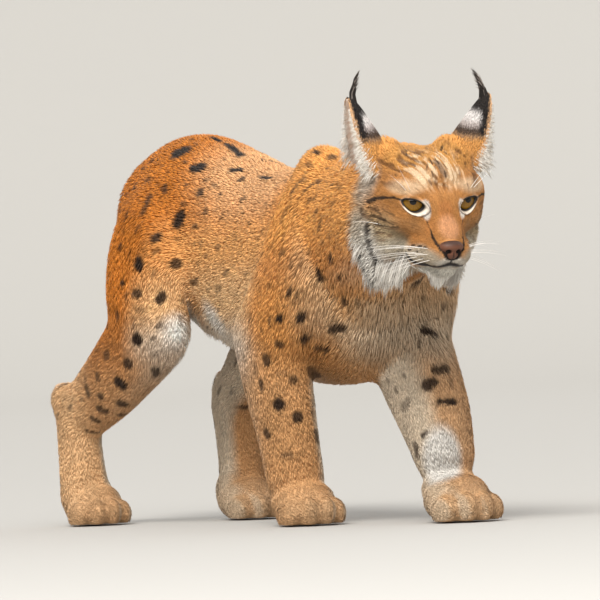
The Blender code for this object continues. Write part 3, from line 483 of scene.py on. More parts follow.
# The coat's colours. One function gives the colour of any place on the coat, for the skin and for the
# hair that stands on it. Spots and streaks are the stretches between two places, with a half width.
SPOTS_MM = (
    # Back, rump and right thigh
    (-7, 204, 462, -2, 192, 464, 9.9, 1.0), (-10, 156, 442, -3, 142, 443, 7.0, 1.0),
    (36, 190, 480, 36, 170, 475, 4.3, 1.0), (38, 154, 470, 35, 109, 454, 5.6, 1.0),
    (11, 89, 436, 17, 78, 436, 5.6, 1.0), (6, 60, 423, 8, 55, 423, 4.3, 0.9),
    (14, 15, 424, 14, -12, 423, 3.9, 1.0), (52, 86, 449, 67, 74, 443, 2.9, 0.9),
    (-19, 121, 410, -19, 119, 410, 6.3, 0.85), (-13, 81, 407, -13, 77, 407, 2.9, 0.78),
    (-16, 15, 398, -14, 12, 400, 4.9, 0.75), (-33, 193, 421, -34, 190, 415, 4.9, 0.8),
    (-58, 206, 389, -46, 210, 409, 4.9, 0.8), (-37, 149, 376, -35, 148, 382, 9.9, 1.0),
    (-62, 164, 357, -61, 163, 357, 7.7, 0.95), (-81, 229, 347, -80, 227, 349, 4.9, 0.8),
    (-82, 176, 328, -82, 172, 323, 7.7, 1.0), (-48, 143, 323, -46, 141, 324, 7.0, 0.9),
    (-91, 168, 288, -90, 165, 288, 7.0, 0.9), (-95, 199, 302, -95, 196, 302, 4.3, 0.91),
    (-71, 142, 279, -66, 142, 285, 6.3, 0.95), (-100, 205, 264, -101, 202, 260, 4.9, 0.8),
    (-33, 129, 298, -34, 108, 302, 4.3, 0.72), (-38, 47, 288, -40, 30, 291, 4.9, 0.39),
    (-26, 96, 386, -25, 95, 388, 4.9, 0.72), (-28, 54, 376, -24, 48, 383, 3.6, 0.52),
    (-26, -7, 380, -26, -10, 380, 3.6, 0.52), (-66, 241, 379, -59, 248, 392, 2.9, 0.78),
    (-36, 273, 422, -34, 271, 425, 3.6, 0.91), (-93, 159, 267, -90, 152, 267, 3.6, 0.52),
    # Right shoulder and neck side
    (-6, -169, 450, -4, -174, 449, 3.9, 0.91), (6, -190, 444, 8, -192, 443, 5.4, 0.78),
    (-39, -170, 402, -28, -182, 417, 3.1, 0.59), (-35, -194, 401, -28, -204, 411, 3.1, 0.65),
    (-25, -211, 414, -31, -226, 413, 3.1, 0.65), (-54, -264, 355, -56, -273, 364, 3.9, 0.52),
    (-64, -181, 327, -63, -184, 330, 4.6, 0.65), (-40, -233, 304, -38, -231, 296, 5.8, 1),
    (-46, -277, 316, -50, -289, 322, 4.6, 1), (-33, -274, 295, -32, -274, 294, 5.4, 1),
    (-15, -247, 266, -14, -247, 264, 5.4, 0.91), (-63, -195, 278, -62, -198, 286, 3.9, 0.91),
    (-56, -204, 273, -56, -207, 281, 3.1, 0.65), (-67, -176, 249, -67, -178, 251, 5.4, 1),
    (-50, -198, 248, -49, -201, 251, 6.1, 1), (-61, -198, 308, -60, -200, 316, 3.1, 0.52),
    (-72, -161, 244, -72, -164, 251, 3.1, 0.78), (-48, -224, 329, -47, -227, 329, 3.9, 0.45),
    (-53, -268, 340, -54, -275, 340, 3.1, 0.45), (-58, -320, 340, -58, -319, 337, 3.1, 0.45),
    (-55, -166, 367, -48, -170, 383, 3.1, 0.52),
    # Soft lines along the shoulder blade
    (-23, -179, 426, -39, -167, 402, 2.5, 0.5), (-39, -167, 402, -48, -181, 378, 2.3, 0.5),
    (-30, -232, 414, -30, -197, 408, 2.0, 0.5), (-30, -197, 408, -41, -189, 392, 2.2, 0.5),
    (-41, -189, 392, -49, -190, 373, 2.2, 0.4), (-5, -100, 417, -26, -91, 390, 2.5, 0.45),
    (-26, -91, 390, -42, -47, 346, 2.5, 0.32), (-50, -173, 377, -60, -165, 350, 2.9, 0.38),
    (-60, -165, 350, -66, -147, 327, 2.9, 0.32), (-57, -281, 370, -54, -264, 352, 3.2, 0.45),
    (-63, -348, 357, -60, -324, 346, 3.2, 0.35), (-41, -90, 356, -45, -63, 328, 2.5, 0.35),
    (-43, -40, 340, -44, -22, 322, 2.5, 0.35), (-50, -308, 408, -56, -333, 401, 2.9, 0.4),
    (-36, 1, 358, -40, -15, 350, 2.7, 0.35), (-54, -212, 318, -59, -205, 301, 2.7, 0.35),
    # Right hind leg
    (-96, 159, 231, -96, 158, 231, 9.2, 1.0), (-79, 132, 247, -77, 131, 250, 4.3, 0.6),
    (-94, 248, 251, -100, 235, 247, 3.6, 0.6), (-109, 224, 214, -108, 223, 214, 7.0, 0.7),
    (-99, 185, 202, -99, 183, 202, 7.7, 0.9), (-101, 207, 179, -98, 204, 176, 7.7, 1.0),
    (-113, 244, 189, -113, 243, 184, 4.3, 0.7), (-117, 270, 174, -116, 264, 165, 4.9, 0.75),
    (-110, 244, 162, -110, 243, 162, 5.6, 0.85), (-92, 222, 153, -89, 221, 151, 6.3, 0.9),
    (-107, 253, 147, -102, 247, 144, 5.3, 0.85), (-84, 241, 138, -78, 242, 138, 4.3, 0.8),
    (-109, 271, 135, -103, 267, 131, 4.3, 0.85), (-108, 292, 119, -94, 288, 116, 2.9, 0.75),
    (-74, 156, 193, -71, 160, 188, 6.3, 0.9), (-115, 274, 187, -116, 271, 180, 3.6, 0.45),
    (-119, 282, 159, -118, 280, 159, 3.6, 0.45), (-105, 260, 223, -108, 252, 218, 2.9, 0.4),
    (-82, 144, 212, -80, 142, 212, 4.3, 0.4),
    # Left hind leg
    (64, 214, 138, 76, 209, 138, 4.3, 0.85),
    # Right foreleg
    (-77, -147, 238, -77, -147, 235, 2.9, 0.6), (-16, -216, 234, -9, -228, 234, 6.3, 0.95),
    (-39, -184, 221, -37, -187, 224, 6.3, 1.0), (-63, -164, 219, -62, -165, 219, 6.3, 0.85),
    (-70, -142, 203, -69, -142, 198, 5.6, 0.85), (-20, -181, 212, -13, -190, 210, 5.6, 0.9),
    (-59, -151, 184, -52, -156, 184, 3.6, 0.4), (-42, -158, 176, -41, -159, 176, 5.6, 0.8),
    (-73, -132, 176, -72, -132, 167, 3.6, 0.85), (0, -136, 176, -16, -150, 184, 7.7, 0.8),
    (-60, -152, 148, -60, -152, 146, 8.5, 1.0), (-41, -162, 131, -39, -163, 131, 7.0, 0.95),
    (-69, -133, 114, -68, -136, 110, 5.6, 0.85), (-13, -156, 110, -12, -156, 102, 6.3, 0.8),
    (-59, -156, 85, -52, -162, 85, 3.6, 0.6), (-8, -266, 265, -5, -263, 261, 4.3, 0.5),
    # Throat and chest
    (50, -307, 282, 45, -324, 288, 8.0, 0.9), (40, -296, 272, 42, -292, 268, 3.1, 0.6),
    (124, -256, 273, 127, -255, 276, 4.9, 0.9), (118, -252, 256, 121, -252, 256, 5.5, 0.7),
    (88, -261, 228, 98, -263, 224, 6.1, 1.0),
    # Left foreleg
    (80, -295, 182, 94, -296, 182, 6.3, 0.9), (65, -301, 164, 70, -303, 166, 8.5, 0.95),
    (72, -318, 142, 88, -322, 143, 5.6, 1.0), (79, -325, 118, 91, -328, 119, 4.3, 0.75),
    (46, -272, 139, 47, -279, 143, 7.0, 0.5), (49, -314, 104, 68, -324, 112, 4.3, 0.85),
    (45, -300, 91, 46, -302, 81, 5.6, 0.75), (73, -331, 83, 77, -332, 83, 2.9, 0.6),
    (58, -327, 85, 62, -327, 88, 2.9, 0.5), (87, -335, 80, 89, -335, 80, 4.3, 0.7),
    (99, -332, 106, 106, -328, 106, 3.6, 0.4), (84, -362, 54, 90, -361, 54, 2.9, 0.4),
    (104, -370, 37, 98, -383, 32, 2.9, 0.5),
)


def linear(text):
    """The linear colour of an sRGB hex value."""
    parts = [int(text[i:i + 2], 16) / 255 for i in (1, 3, 5)]
    return np.array([c / 12.92 if c <= 0.04045 else ((c + 0.055) / 1.055) ** 2.4 for c in parts])


def value_noise(points, size, seed):
    """Soft noise from 0 to 1 with blobs of the given size in metres."""
    table = np.random.default_rng(seed).random(4096)
    place = points / size + 50.0
    cell = np.floor(place).astype(np.int64)
    part = place - cell
    part = part * part * (3 - 2 * part)
    total = np.zeros(len(points))
    for corner in range(8):
        step = np.array([(corner >> k) & 1 for k in range(3)])
        spot = cell + step
        found = table[(spot[:, 0] * 73856093 ^ spot[:, 1] * 19349663 ^ spot[:, 2] * 83492791) % 4096]
        weight = np.prod(np.where(step, part, 1 - part), axis=1)
        total += weight * found
    return total


def paint(colour, mask, hex_value):
    colour += np.clip(mask, 0, 1)[:, None] * (linear(hex_value) - colour)


def streak(points, start, end, half_wide, soft=0.35):
    """1 within half_wide of the stretch from start to end."""
    start, end = np.array(start, float), np.array(end, float)
    along = end - start
    t = np.clip((points - start) @ along / max(along @ along, 1e-12), 0, 1)
    away = np.linalg.norm(points - start - t[:, None] * along, axis=1) / half_wide
    return ramp(away, 1 + soft, 1 - soft)


def body_colour(points, facing):
    """The ground colours of trunk, neck, limbs and tail."""
    x, y, z = points.T
    colour = np.tile(linear("#E29C5A"), (len(points), 1))
    # Rump and thighs deepest, withers and neck brightest; the top of the back, where it faces up, paler as a painted
    # sheen of sky light
    paint(colour, ramp(y, 0.07, 0.19), "#D5822E")
    paint(colour, ramp(y, 0.10, 0.18) * ramp(z, 0.30, 0.22), "#BE7A3A")
    paint(colour, ramp(y, -0.07, -0.15) * ramp(z, 0.30, 0.36), "#F2AC5E")
    # Painted sheen: the upward-facing top of the back is painted paler, as if lit by the sky
    back = ramp(facing[:, 2], 0.2, 0.7) * ramp(z, 0.34, 0.38)
    paint(colour, back * ramp(y, 0.19, 0.10) * ramp(y, -0.12, -0.06) * 0.8, "#F0BC88")
    # Flank to belly
    flank = ramp(y, -0.16, -0.08) * ramp(y, 0.20, 0.12)
    paint(colour, flank * ramp(z, 0.39, 0.34) * 0.8, "#F0B470")
    paint(colour, flank * ramp(z, 0.34, 0.28) * 0.9, "#EEC492")
    paint(colour, flank * ramp(z, 0.27, 0.21), "#E8DACA")
    paint(colour, blob(points, (-0.048, 0.098, 0.240), (0.042, 0.038, 0.034), 0.7), "#F6F1EA")
    inside = ramp(-facing[:, 2], 0.35, 0.85) * ramp(z, 0.10, 0.20) * ramp(y, -0.40, -0.30)
    paint(colour, inside * ramp(z, 0.34, 0.28), "#E8DECE")
    # Shoulder, breast and throat
    paint(colour, ramp(y, -0.10, -0.16) * ramp(z, 0.33, 0.27), "#E6A25A")
    breast = ramp(y, -0.17, -0.24) * ramp(z, 0.40, 0.34)
    paint(colour, breast * ramp(-facing[:, 1], -0.1, 0.5) * 0.8, "#DAB890")
    paint(colour, breast * ramp(z, 0.29, 0.20) * ramp(-facing[:, 1], 0.2, 0.8), "#D0BFA8")
    # Legs pale inwards and towards the feet
    legs = ramp(z, 0.24, 0.16)
    paint(colour, legs * 0.85, "#CC9C6C")
    paint(colour, ramp(y, 0.25, 0.31) * legs, "#E8BC8C")
    right = ramp(x - 0.02 * ramp(y, 0.0, -0.3), 0.02, 0.0)
    inward = np.where(right > 0.5, facing[:, 0], -facing[:, 0])
    paint(colour, ramp(z, 0.27, 0.20) * ramp(inward, 0.40, 0.92) * 0.85, "#DACDB8")
    paint(colour, ramp(z, 0.07, 0.02) * 0.5, "#D0AE88")
    paint(colour, blob(points, (0.062, -0.335, 0.075), (0.022, 0.030, 0.040), 0.6), "#DAD6D0")
    # Tail: ringed end, black tip
    paint(colour, ramp(y, 0.375, 0.395) * ramp(z, 0.330, 0.300) * ramp(z, 0.20, 0.24), "#231C19")
    return colour


HEAD_ZONES = (
    # forward, left, up, then half lengths the same way, colour, soft edge, strength; each on both sides
    ((-0.060, 0.0, 0.046), (0.060, 0.060, 0.030), "#D69C54", 0.6, 0.9),
    ((0.000, 0.0, 0.026), (0.030, 0.030, 0.022), "#C48A50", 0.8, 0.8),
    ((0.004, 0.019, 0.031), (0.015, 0.013, 0.012), "#D8B48C", 0.9, 0.75),
    ((0.003, 0.043, 0.019), (0.020, 0.021, 0.0075), "#DDBF9C", 0.9, 0.8),
    ((0.030, 0.0, -0.006), (0.020, 0.010, 0.014), "#B27440", 0.8, 0.7),
    ((0.046, 0.0, -0.020), (0.020, 0.0125, 0.014), "#D69C70", 0.7, 0.9),
    ((0.030, 0.019, -0.022), (0.016, 0.006, 0.012), "#B67A42", 0.8, 0.8),
    ((0.012, 0.042, -0.024), (0.024, 0.020, 0.009), "#AE7E4E", 0.9, 0.8),
    ((-0.022, 0.066, -0.024), (0.036, 0.020, 0.014), "#B4946C", 0.9, 0.8),
    ((-0.034, 0.064, -0.010), (0.030, 0.022, 0.010), "#C08C5A", 0.9, 0.7),
    ((-0.020, 0.058, -0.046), (0.040, 0.026, 0.018), "#B9A584", 0.8, 0.9),
    ((-0.006, 0.044, -0.062), (0.036, 0.026, 0.016), "#CFC4B0", 0.8, 0.95),
    ((-0.066, 0.072, -0.090), (0.050, 0.050, 0.062), "#DEDAD2", 0.5, 0.97),
    ((-0.078, 0.076, -0.030), (0.030, 0.024, 0.036), "#CDBDA6", 0.9, 0.8),
    ((-0.062, 0.080, 0.022), (0.034, 0.024, 0.030), "#D6CBBC", 0.8, 0.85),
    ((0.036, 0.024, -0.056), (0.030, 0.020, 0.0125), "#BFB29E", 0.6, 0.95),
    ((0.052, 0.0, -0.060), (0.018, 0.020, 0.0085), "#DAD2C6", 0.5, 0.95),
    ((0.034, 0.0, -0.080), (0.040, 0.034, 0.014), "#DDD9CE", 0.5, 0.97),
    ((-0.030, 0.0, -0.092), (0.040, 0.050, 0.020), "#CFC3B0", 0.8, 0.8),
    ((0.0265, 0.0225, -0.003), (0.012, 0.0048, 0.0115), "#EFE9E0", 0.5, 0.95),
)
FACE_LINES = (
    # Both ends, forward, left, up in mm, then half width and how dark; each is on both sides
    (9, 47, 5, 3, 55, 7, 1.5, 0.95), (3, 55, 7, -9, 64, 4, 1.7, 0.95), (-9, 64, 4, -26, 67, -1, 2.1, 0.95), (-26, 67, -1, -42, 71, -9, 2.6, 0.95),
    (-49, 74, -20, -50, 75, -24, 3.6, 0.85), (-33, 70, -24, -7, 61, -23, 1.7, 0.81), (-7, 61, -23, 3, 54, -26, 1.4, 0.61),
    (-40, 70, -37, -42, 71, -48, 4.6, 0.9), (-26, 66, -33, 7, 49, -28, 1.5, 0.68), (-20, 64, -41, 2, 50, -40, 1.4, 0.54),
    (-38, 70, -15, -14, 64, -16, 1.6, 0.61), (-12, 63, -10, 6, 55, -14, 1.3, 0.54), (-34, 70, -30, -16, 65, -32, 1.6, 0.61),
    (-4, 58, -33, 10, 48, -35, 1.3, 0.54), (8, 53, -9, 18, 44, -17, 1.2, 0.54), (14, 46, -22, 24, 36, -27, 1.2, 0.54),
    (17, 22, -6, 24, 24, -10, 1.7, 0.9), (24, 24, -10, 30, 22, -17, 1.2, 0.81), (30, 22, -17, 35, 21, -24, 1.0, 0.47),
    (36, 19, -25, 42, 19, -32, 1.5, 1.0), (42, 19, -32, 50, 17, -38, 1.7, 1.0), (50, 17, -38, 58, 15, -43, 1.7, 1.0),
    (21, 36, -47, 24, 34, -46, 1.5, 0.81), (29, 31, -46, 33, 29, -45, 1.6, 0.94), (38, 28, -44, 42, 26, -44, 1.4, 0.81),
    (47, 23, -43, 50, 21, -42, 1.3, 0.68), (17, 39, -53, 21, 37, -52, 1.5, 0.81), (26, 34, -52, 31, 32, -52, 1.5, 0.94),
    (37, 29, -51, 42, 27, -51, 1.4, 0.81), (48, 24, -50, 56, 20, -49, 1.3, 0.81), (24, 35, -59, 30, 32, -58, 1.5, 0.94),
    (35, 29, -58, 41, 27, -58, 1.4, 0.94), (46, 23, -57, 58, 15, -56, 1.3, 0.94),
    (-58, 46, 58, -66, 40, 58, 3.4, 0.85), (-50, 22, 50, -57, 27, 52, 2.2, 0.81), (-58, 6, 50, -64, 9, 50, 2.0, 0.81),
    (-12, 9, 44, -3, 14, 38, 1.2, 0.81), (-3, 18, 37, 3, 22, 31, 1.1, 0.68), (-24, 4, 48, -10, 4, 43, 1.3, 0.81),
    (-22, 12, 47, -14, 13, 44, 1.2, 0.81), (-30, 20, 47, -20, 21, 44, 1.3, 0.74), (0, 8, 36, 5, 8, 31, 1.0, 0.68),
    (-8, 23, 39, 0, 26, 33, 1.1, 0.68), (-38, 10, 50, -28, 10, 48, 1.4, 0.74), (-45, 24, 48, -36, 26, 47, 1.4, 0.74),
    (8, 14, 27, 10, 14, 21, 0.9, 0.61), (-16, 33, 40, -8, 35, 35, 1.1, 0.54), (-52, 2, 50, -44, 2, 50, 1.5, 0.74),
    (10, 4, 28, 13, 5, 21, 0.9, 0.54), (-2, 45, 26, 6, 42, 21, 1.0, 0.47), (-20, 46, 34, -12, 48, 28, 1.2, 0.47),
    (-6, 3, 40, 1, 3, 34, 1.0, 0.68), (2, 17, 27, 6, 18, 21, 0.9, 0.54), (-34, 34, 45, -26, 36, 42, 1.3, 0.54),
)
MOUTH = [(0.0120, 0.0400, -0.0600), (0.0180, 0.0365, -0.0640), (0.0240, 0.0325, -0.0668), (0.0330, 0.0262, -0.0680),
         (0.0410, 0.0215, -0.0668), (0.0480, 0.0165, -0.0652), (0.0530, 0.0085, -0.0638), (0.0550, 0.0, -0.0626)]
MOUTH = MOUTH + [(f, -l, u) for f, l, u in reversed(MOUTH[:-1])]


def head_colour(points, facing):
    """The ground colours, pale marks and dark lines of the head."""
    local = in_head(points)
    folded = local * np.array((1, 0, 1)) + np.abs(local) * np.array((0, 1, 0))
    colour = np.tile(linear("#B67E46"), (len(points), 1))
    for centre, radii, hex_value, soft, strength in HEAD_ZONES:
        paint(colour, blob(folded, centre, radii, soft) * strength, hex_value)
    # Fine streaks that run back from the nose, pale on the brow and brown on crown and cheeks
    ray = local - np.array((0.060, 0, -0.045))
    reach = np.linalg.norm(ray, axis=1, keepdims=True)
    streaks = ray / reach * 0.085 + reach * 0.20
    fine = value_noise(streaks, 0.0019, 7)
    broad = value_noise(streaks + 0.4, 0.0028, 8)
    top = ramp(folded[:, 2], 0.012, 0.024) * ramp(folded[:, 0], -0.085, -0.040)
    brow = blob(folded, (-0.012, 0.012, 0.038), (0.044, 0.026, 0.022), 0.8)
    paint(colour, brow * ramp(fine, 0.44, 0.64) * 0.80, "#EBD2B0")
    paint(colour, top * ramp(broad, 0.56, 0.76) * 0.75, "#643E24")
    side_face = ramp(folded[:, 1], 0.040, 0.056) * ramp(-folded[:, 2], -0.012, 0.004) * ramp(-folded[:, 2], 0.060, 0.048)
    paint(colour, side_face * ramp(broad, 0.52, 0.76) * 0.6, "#6E4C30")
    colour *= (0.80 + 0.38 * fine)[:, None]
    shade = np.ones(len(points))
    for line in FACE_LINES:
        start, end = np.array(line[:3]) / 1000, np.array(line[3:6]) / 1000
        shade *= 1 - line[7] * streak(folded, start, end, line[6] / 1000)
    paint(colour, 1 - shade, "#2A1F1A")
    # Dark rims round the eyes, a pale band outside them and a thin dark edge below it
    for side in (1, -1):
        ring = almond(points, side)
        turn = np.array(HEAD_TURN @ tilt(0, 0, LID_TURN * side))
        at_eye = (points - np.array(head_point(0, EYE_OUT * side, 0))) @ turn
        low = ramp(-at_eye[:, 2] - 0.35 * at_eye[:, 0] * side, -0.0050, 0.0010)
        paint(colour, ramp(ring, 1.58, 1.48) * low * 0.75, "#54351F")
        paint(colour, ramp(ring, 1.42, 1.33) * (0.20 + 0.75 * low), "#DFD2C2")
        paint(colour, ramp(ring + 0.10 * low, 1.30, 1.20), "#1A1210")
    mouth = np.zeros(len(points))
    for a, b in zip(MOUTH, MOUTH[1:]):
        mouth = np.maximum(mouth, streak(local, a, b, 0.0036, 0.6))
    paint(colour, mouth * 0.95, "#241C1A")
    # Bare skin round the nose leather painted near black: real dark skin that joins the dark lines to the nose, and
    # painted shade where it shows through the nostril slits
    bare = nose_reach(local)
    paint(colour, ramp(bare, 1.16, 1.02) * ramp(-local[:, 2], 0.034, 0.040), "#1B1311")
    # The black patch in the ruff, and its dark lower edge
    black = np.maximum(streak(folded, (-0.042, 0.068, -0.060), (-0.038, 0.060, -0.086), 0.0056),
                       streak(folded, (-0.074, 0.068, -0.080), (-0.062, 0.062, -0.104), 0.0040))
    paint(colour, black * 0.85, "#2B2522")
    return colour


def nose_reach(local):
    """How far a place of the head lies from the middle of the nose leather, as a share of its size."""
    top = np.linalg.norm((local - np.array((0.0535, 0, -0.0415))) / np.array((0.0190, 0.0152, 0.0088)), axis=1)
    low = np.linalg.norm((local - np.array((0.0545, 0, -0.0480))) / np.array((0.0160, 0.0112, 0.0090)), axis=1)
    return np.minimum(top, low)


def coat_colour(points, facing):
    """The colour of the coat at each place on its outer surface."""
    head = head_share(in_head(points))[:, None]
    colour = body_colour(points, facing) * (1 - head) + head_colour(points, facing) * head
    wobble = 0.0034 * (value_noise(points, 0.007, 3)[:, None] - 0.5)
    dark = np.ones(len(points))
    for row in all_spots:
        spot_middle, reach = (row[:3] + row[3:6]) / 2, np.linalg.norm(row[3:6] - row[:3]) / 2 + 2 * row[6]
        close = np.nonzero(np.abs(points[:, 2] - spot_middle[2]) < reach)[0]
        close = close[np.linalg.norm(points[close] - spot_middle, axis=1) < reach]
        if len(close):
            dark[close] *= 1 - row[7] * streak(points[close] + wobble[close], row[:3], row[3:6], row[6])
    spot = np.where(points[:, 2:] > 0.40, linear("#2E2A2B"), linear("#33241B"))
    colour += (1 - dark)[:, None] * (spot - colour)
    mottle = value_noise(points, 0.018, 5) - 0.5
    colour *= (1 + 0.20 * mottle + 0.18 * (value_noise(points, 0.006, 6) - 0.5))[:, None]
    return np.clip(colour, 0.004, 0.93)


# The far side has spots of the same kind, scattered at the same spacing with the hair's lie as their long way
SHOWN_SIDE = np.array((-0.45, -0.89, 0.0))
chance = np.random.default_rng(21)
all_spots = [np.array(row, float) * np.array([0.001] * 7 + [1]) for row in SPOTS_MM]
taken = [(row[:3] + row[3:6]) / 2 for row in all_spots]
hidden = (normals @ SHOWN_SIDE < 0.02) & (outer[:, 2] > 0.055) & (np.abs(normals[:, 2]) < 0.93)
local = in_head(outer)
hidden &= np.linalg.norm(local - np.array((-0.035, 0, -0.015)), axis=1) > 0.125
hidden &= ~((normals[:, 2] < -0.35) & (outer[:, 2] < 0.30))
for i in chance.permutation(np.nonzero(hidden)[0])[:9000]:
    place = outer[i]
    apart = 0.024 if place[2] < 0.20 else 0.030 if place[2] < 0.36 else 0.034
    if min(np.linalg.norm(place - other) for other in taken) < apart:
        continue
    half_long = chance.uniform(0.001, 0.004) if place[2] < 0.40 else chance.uniform(0.002, 0.006)
    half_wide = chance.uniform(0.0034, 0.0062)
    ends = [place - flow[i] * half_long, place + flow[i] * half_long]
    taken.append(place)
    all_spots.append(np.array([*ends[0], *ends[1], half_wide, chance.uniform(0.65, 1.0)]))
# Faint brown flecks between the spots, on trunk, shoulders and thighs of both sides
fleck_ground = (outer[:, 2] > 0.13) & (normals[:, 2] > -0.35) & (normals[:, 2] < 0.93)
fleck_ground &= np.linalg.norm(local - np.array((-0.035, 0, -0.015)), axis=1) > 0.115
flecks = 0
for i in chance.permutation(np.nonzero(fleck_ground)[0])[:2600]:
    place = outer[i]
    if flecks == 190 or min(np.linalg.norm(place - other) for other in taken) < 0.0185:
        continue
    half_long = flow[i] * chance.uniform(0.001, 0.005)
    taken.append(place)
    all_spots.append(np.array([*(place - half_long), *(place + half_long), chance.uniform(0.0021, 0.0040), chance.uniform(0.40, 0.68)]))
    flecks += 1


def add_node(tree, kind, inputs=None, **settings):
    """A node with its settings, and its inputs set to values or linked from other nodes' outputs."""
    made = tree.nodes.new(kind)
    for name, value in settings.items():
        setattr(made, name, value)
    for name, value in (inputs or {}).items():
        if isinstance(value, bpy.types.NodeSocket):
            tree.links.new(value, made.inputs[name])
        else:
            made.inputs[name].default_value = value
    return made


def material(name, **inputs):
    """A material with its shader's own sockets set by name."""
    made = bpy.data.materials.new(name)
    made.use_nodes = True
    shader = made.node_tree.nodes["Principled BSDF"]
    for key, value in inputs.items():
        shader.inputs[key.replace("_", " ")].default_value = value
    return made, made.node_tree, shader


def new_object(name, points, faces, colour=None, smooth=True):
    """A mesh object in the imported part's place, with a colour for each point if given."""
    faces = np.asarray(faces)
    mesh = bpy.data.meshes.new(name)
    mesh.vertices.add(len(points))
    mesh.vertices.foreach_set("co", (np.asarray(points) + SHIFT).ravel())
    mesh.loops.add(faces.size)
    mesh.loops.foreach_set("vertex_index", faces.ravel().astype(np.int32))
    mesh.polygons.add(len(faces))
    mesh.polygons.foreach_set("loop_start", np.arange(0, faces.size, faces.shape[1], dtype=np.int32))
    mesh.polygons.foreach_set("use_smooth", np.full(len(faces), smooth))
    mesh.update(calc_edges=True)
    if colour is not None:
        layer = mesh.color_attributes.new(name="coat", type="FLOAT_COLOR", domain="POINT")
        layer.data.foreach_set("color", np.c_[colour, np.ones(len(colour))].astype(np.float32).ravel())
    obj = bpy.data.objects.new(name, mesh)
    bpy.context.scene.collection.objects.link(obj)
    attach(obj, "root")
    return obj


# Hide under hair: matt, the coat's own colour but deeper as painted shade between the tufts, with a fine grain that
# runs with short hair
hide, tree, shader = material("hide under short hair", Roughness=0.75)
shader.inputs["Specular IOR Level"].default_value = 0.2
painted = add_node(tree, "ShaderNodeAttribute", attribute_name="coat")
tree.links.new(painted.outputs["Color"], shader.inputs["Base Color"])
where = add_node(tree, "ShaderNodeTexCoord")
grain = add_node(tree, "ShaderNodeTexNoise", {"Vector": where.outputs["Object"], "Scale": 700.0, "Detail": 2.0})
bump = add_node(tree, "ShaderNodeBump", {"Height": grain.outputs["Fac"], "Strength": 0.5, "Distance": 0.0006})
tree.links.new(bump.outputs["Normal"], shader.inputs["Normal"])

# The hide takes the coat's colours at 0.85: painted shade where it shows between the tufts
skin_object = new_object("skin", skin, skin_quads, coat_colour(outer, normals) * 0.85)
skin_object.data.materials.append(hide)
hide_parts(*FLESH)

# Coat: short guard hair in tufts over the whole hide, finest on the muzzle and paws and longest under
# the belly. Each tuft is a closed bowed blade rooted in the skin, laid back along the body, with the
# colour of its place; paler at its tip than at its root.
TUFTS = 211000
ROOT_DEEP = 0.0012
PATCH = 0.003


def blades(root, bend, tip, facing, width, rings, thick=0.16):
    """Closed tapered blades along smooth lines, broad across facing: points, triangles, share along, patch."""
    shares = {1: ((0.40, 1.0),), 2: ((0.22, 0.9), (0.62, 0.85)), 3: ((0.12, 0.8), (0.42, 1.0), (0.74, 0.66))}[rings]
    columns, along_share, patch = [root], [0.0], [(0.0, -1.0)]
    for t, w in shares:
        centre = root * (1 - t) ** 2 + bend * 2 * t * (1 - t) + tip * t * t
        along = unit((bend - root) * (1 - t) + (tip - bend) * t)
        side = unit(np.cross(along, facing))
        up = np.cross(side, along)
        half = (width * w / 2)[:, None]
        columns += [centre - side * half, centre + up * half * 2 * thick, centre + side * half]
        along_share += [t] * 3
        patch += [(-w, 2 * t - 1), (0.0, 2 * t - 0.8), (w, 2 * t - 1)]
    columns.append(tip)
    along_share.append(1.0)
    patch.append((0.0, 1.0))
    size = len(columns)
    faces = []
    for a, b in ((1, 2), (2, 3), (3, 1)):
        faces.append((0, a, b))
        for k in range(rings - 1):
            low, high = 3 * k, 3 * k + 3
            faces += [(a + low, a + high, b + high), (a + low, b + high, b + low)]
        faces.append((a + 3 * rings - 3, size - 1, b + 3 * rings - 3))
    points = np.stack(columns, axis=1).reshape(-1, 3)
    starts = np.arange(len(root))[:, None, None] * size
    triangles = (starts + np.array(faces)[None]).reshape(-1, 3)
    return points, triangles, np.array(along_share), np.array(patch)


def unwrap(points, facing):
    """Each place's spot on six flat charts of the piece, one for each way that the skin can face."""
    axis = np.argmax(np.abs(facing), axis=1)
    chart = axis * 2 + (facing[np.arange(len(points)), axis] > 0)
    low, high = points.min(0), points.max(0)
    share = (points - low) / np.maximum(high - low, 1e-6)
    first = share[np.arange(len(points)), np.array([1, 0, 0])[axis]]
    second = share[np.arange(len(points)), np.array([2, 2, 1])[axis]]
    return np.stack(((chart % 3 + 0.03 + 0.94 * first) / 3, (chart // 3 + 0.03 + 0.94 * second) / 2), axis=1)


def hair_object(name, pieces, place, facing, colour, shades, finish, streaky=0.10, seed=0):
    """A joined mesh of blades, coloured from root to tip, each with its own patch of the OFBake map."""
    points, triangles, share, patch = pieces
    count = len(place)
    own = np.random.default_rng(seed).normal(1.0, streaky, (count, 1))
    shade = np.interp(share, (0.0, 0.4, 1.0), shades)
    if colour.ndim == 2:
        colour = colour[:, None, :]
    else:
        colour = colour[:, np.searchsorted((0.0, 0.4, 1.0), share)]
    tint = np.clip(colour * own[:, None], 0.003, 0.97) * shade[None, :, None]
    obj = new_object(name, points, triangles, np.clip(tint, 0, 1).reshape(-1, 3))
    spots = unwrap(place, facing)[:, None, :] + patch[None] * PATCH / 2
    layer = obj.data.uv_layers.new(name="OFBake")
    layer.uv.foreach_set("vector", spots.reshape(-1, 2)[triangles.ravel()].astype(np.float32).ravel())
    obj.data.materials.append(finish)
    return obj


# Guard hair: keratin, satin, its colour from the markings; the soft sheen is light caught by fine tips
guard_hair, tree, shader = material("guard hair", Roughness=0.60)
shader.inputs["Specular IOR Level"].default_value = 0.22
shader.inputs["Sheen Weight"].default_value = 0.05
shader.inputs["Sheen Roughness"].default_value = 0.4
shader.inputs["Sheen Tint"].default_value = (*linear("#F2CFA0"), 1.0)
painted = add_node(tree, "ShaderNodeAttribute", attribute_name="coat")
tree.links.new(painted.outputs["Color"], shader.inputs["Base Color"])

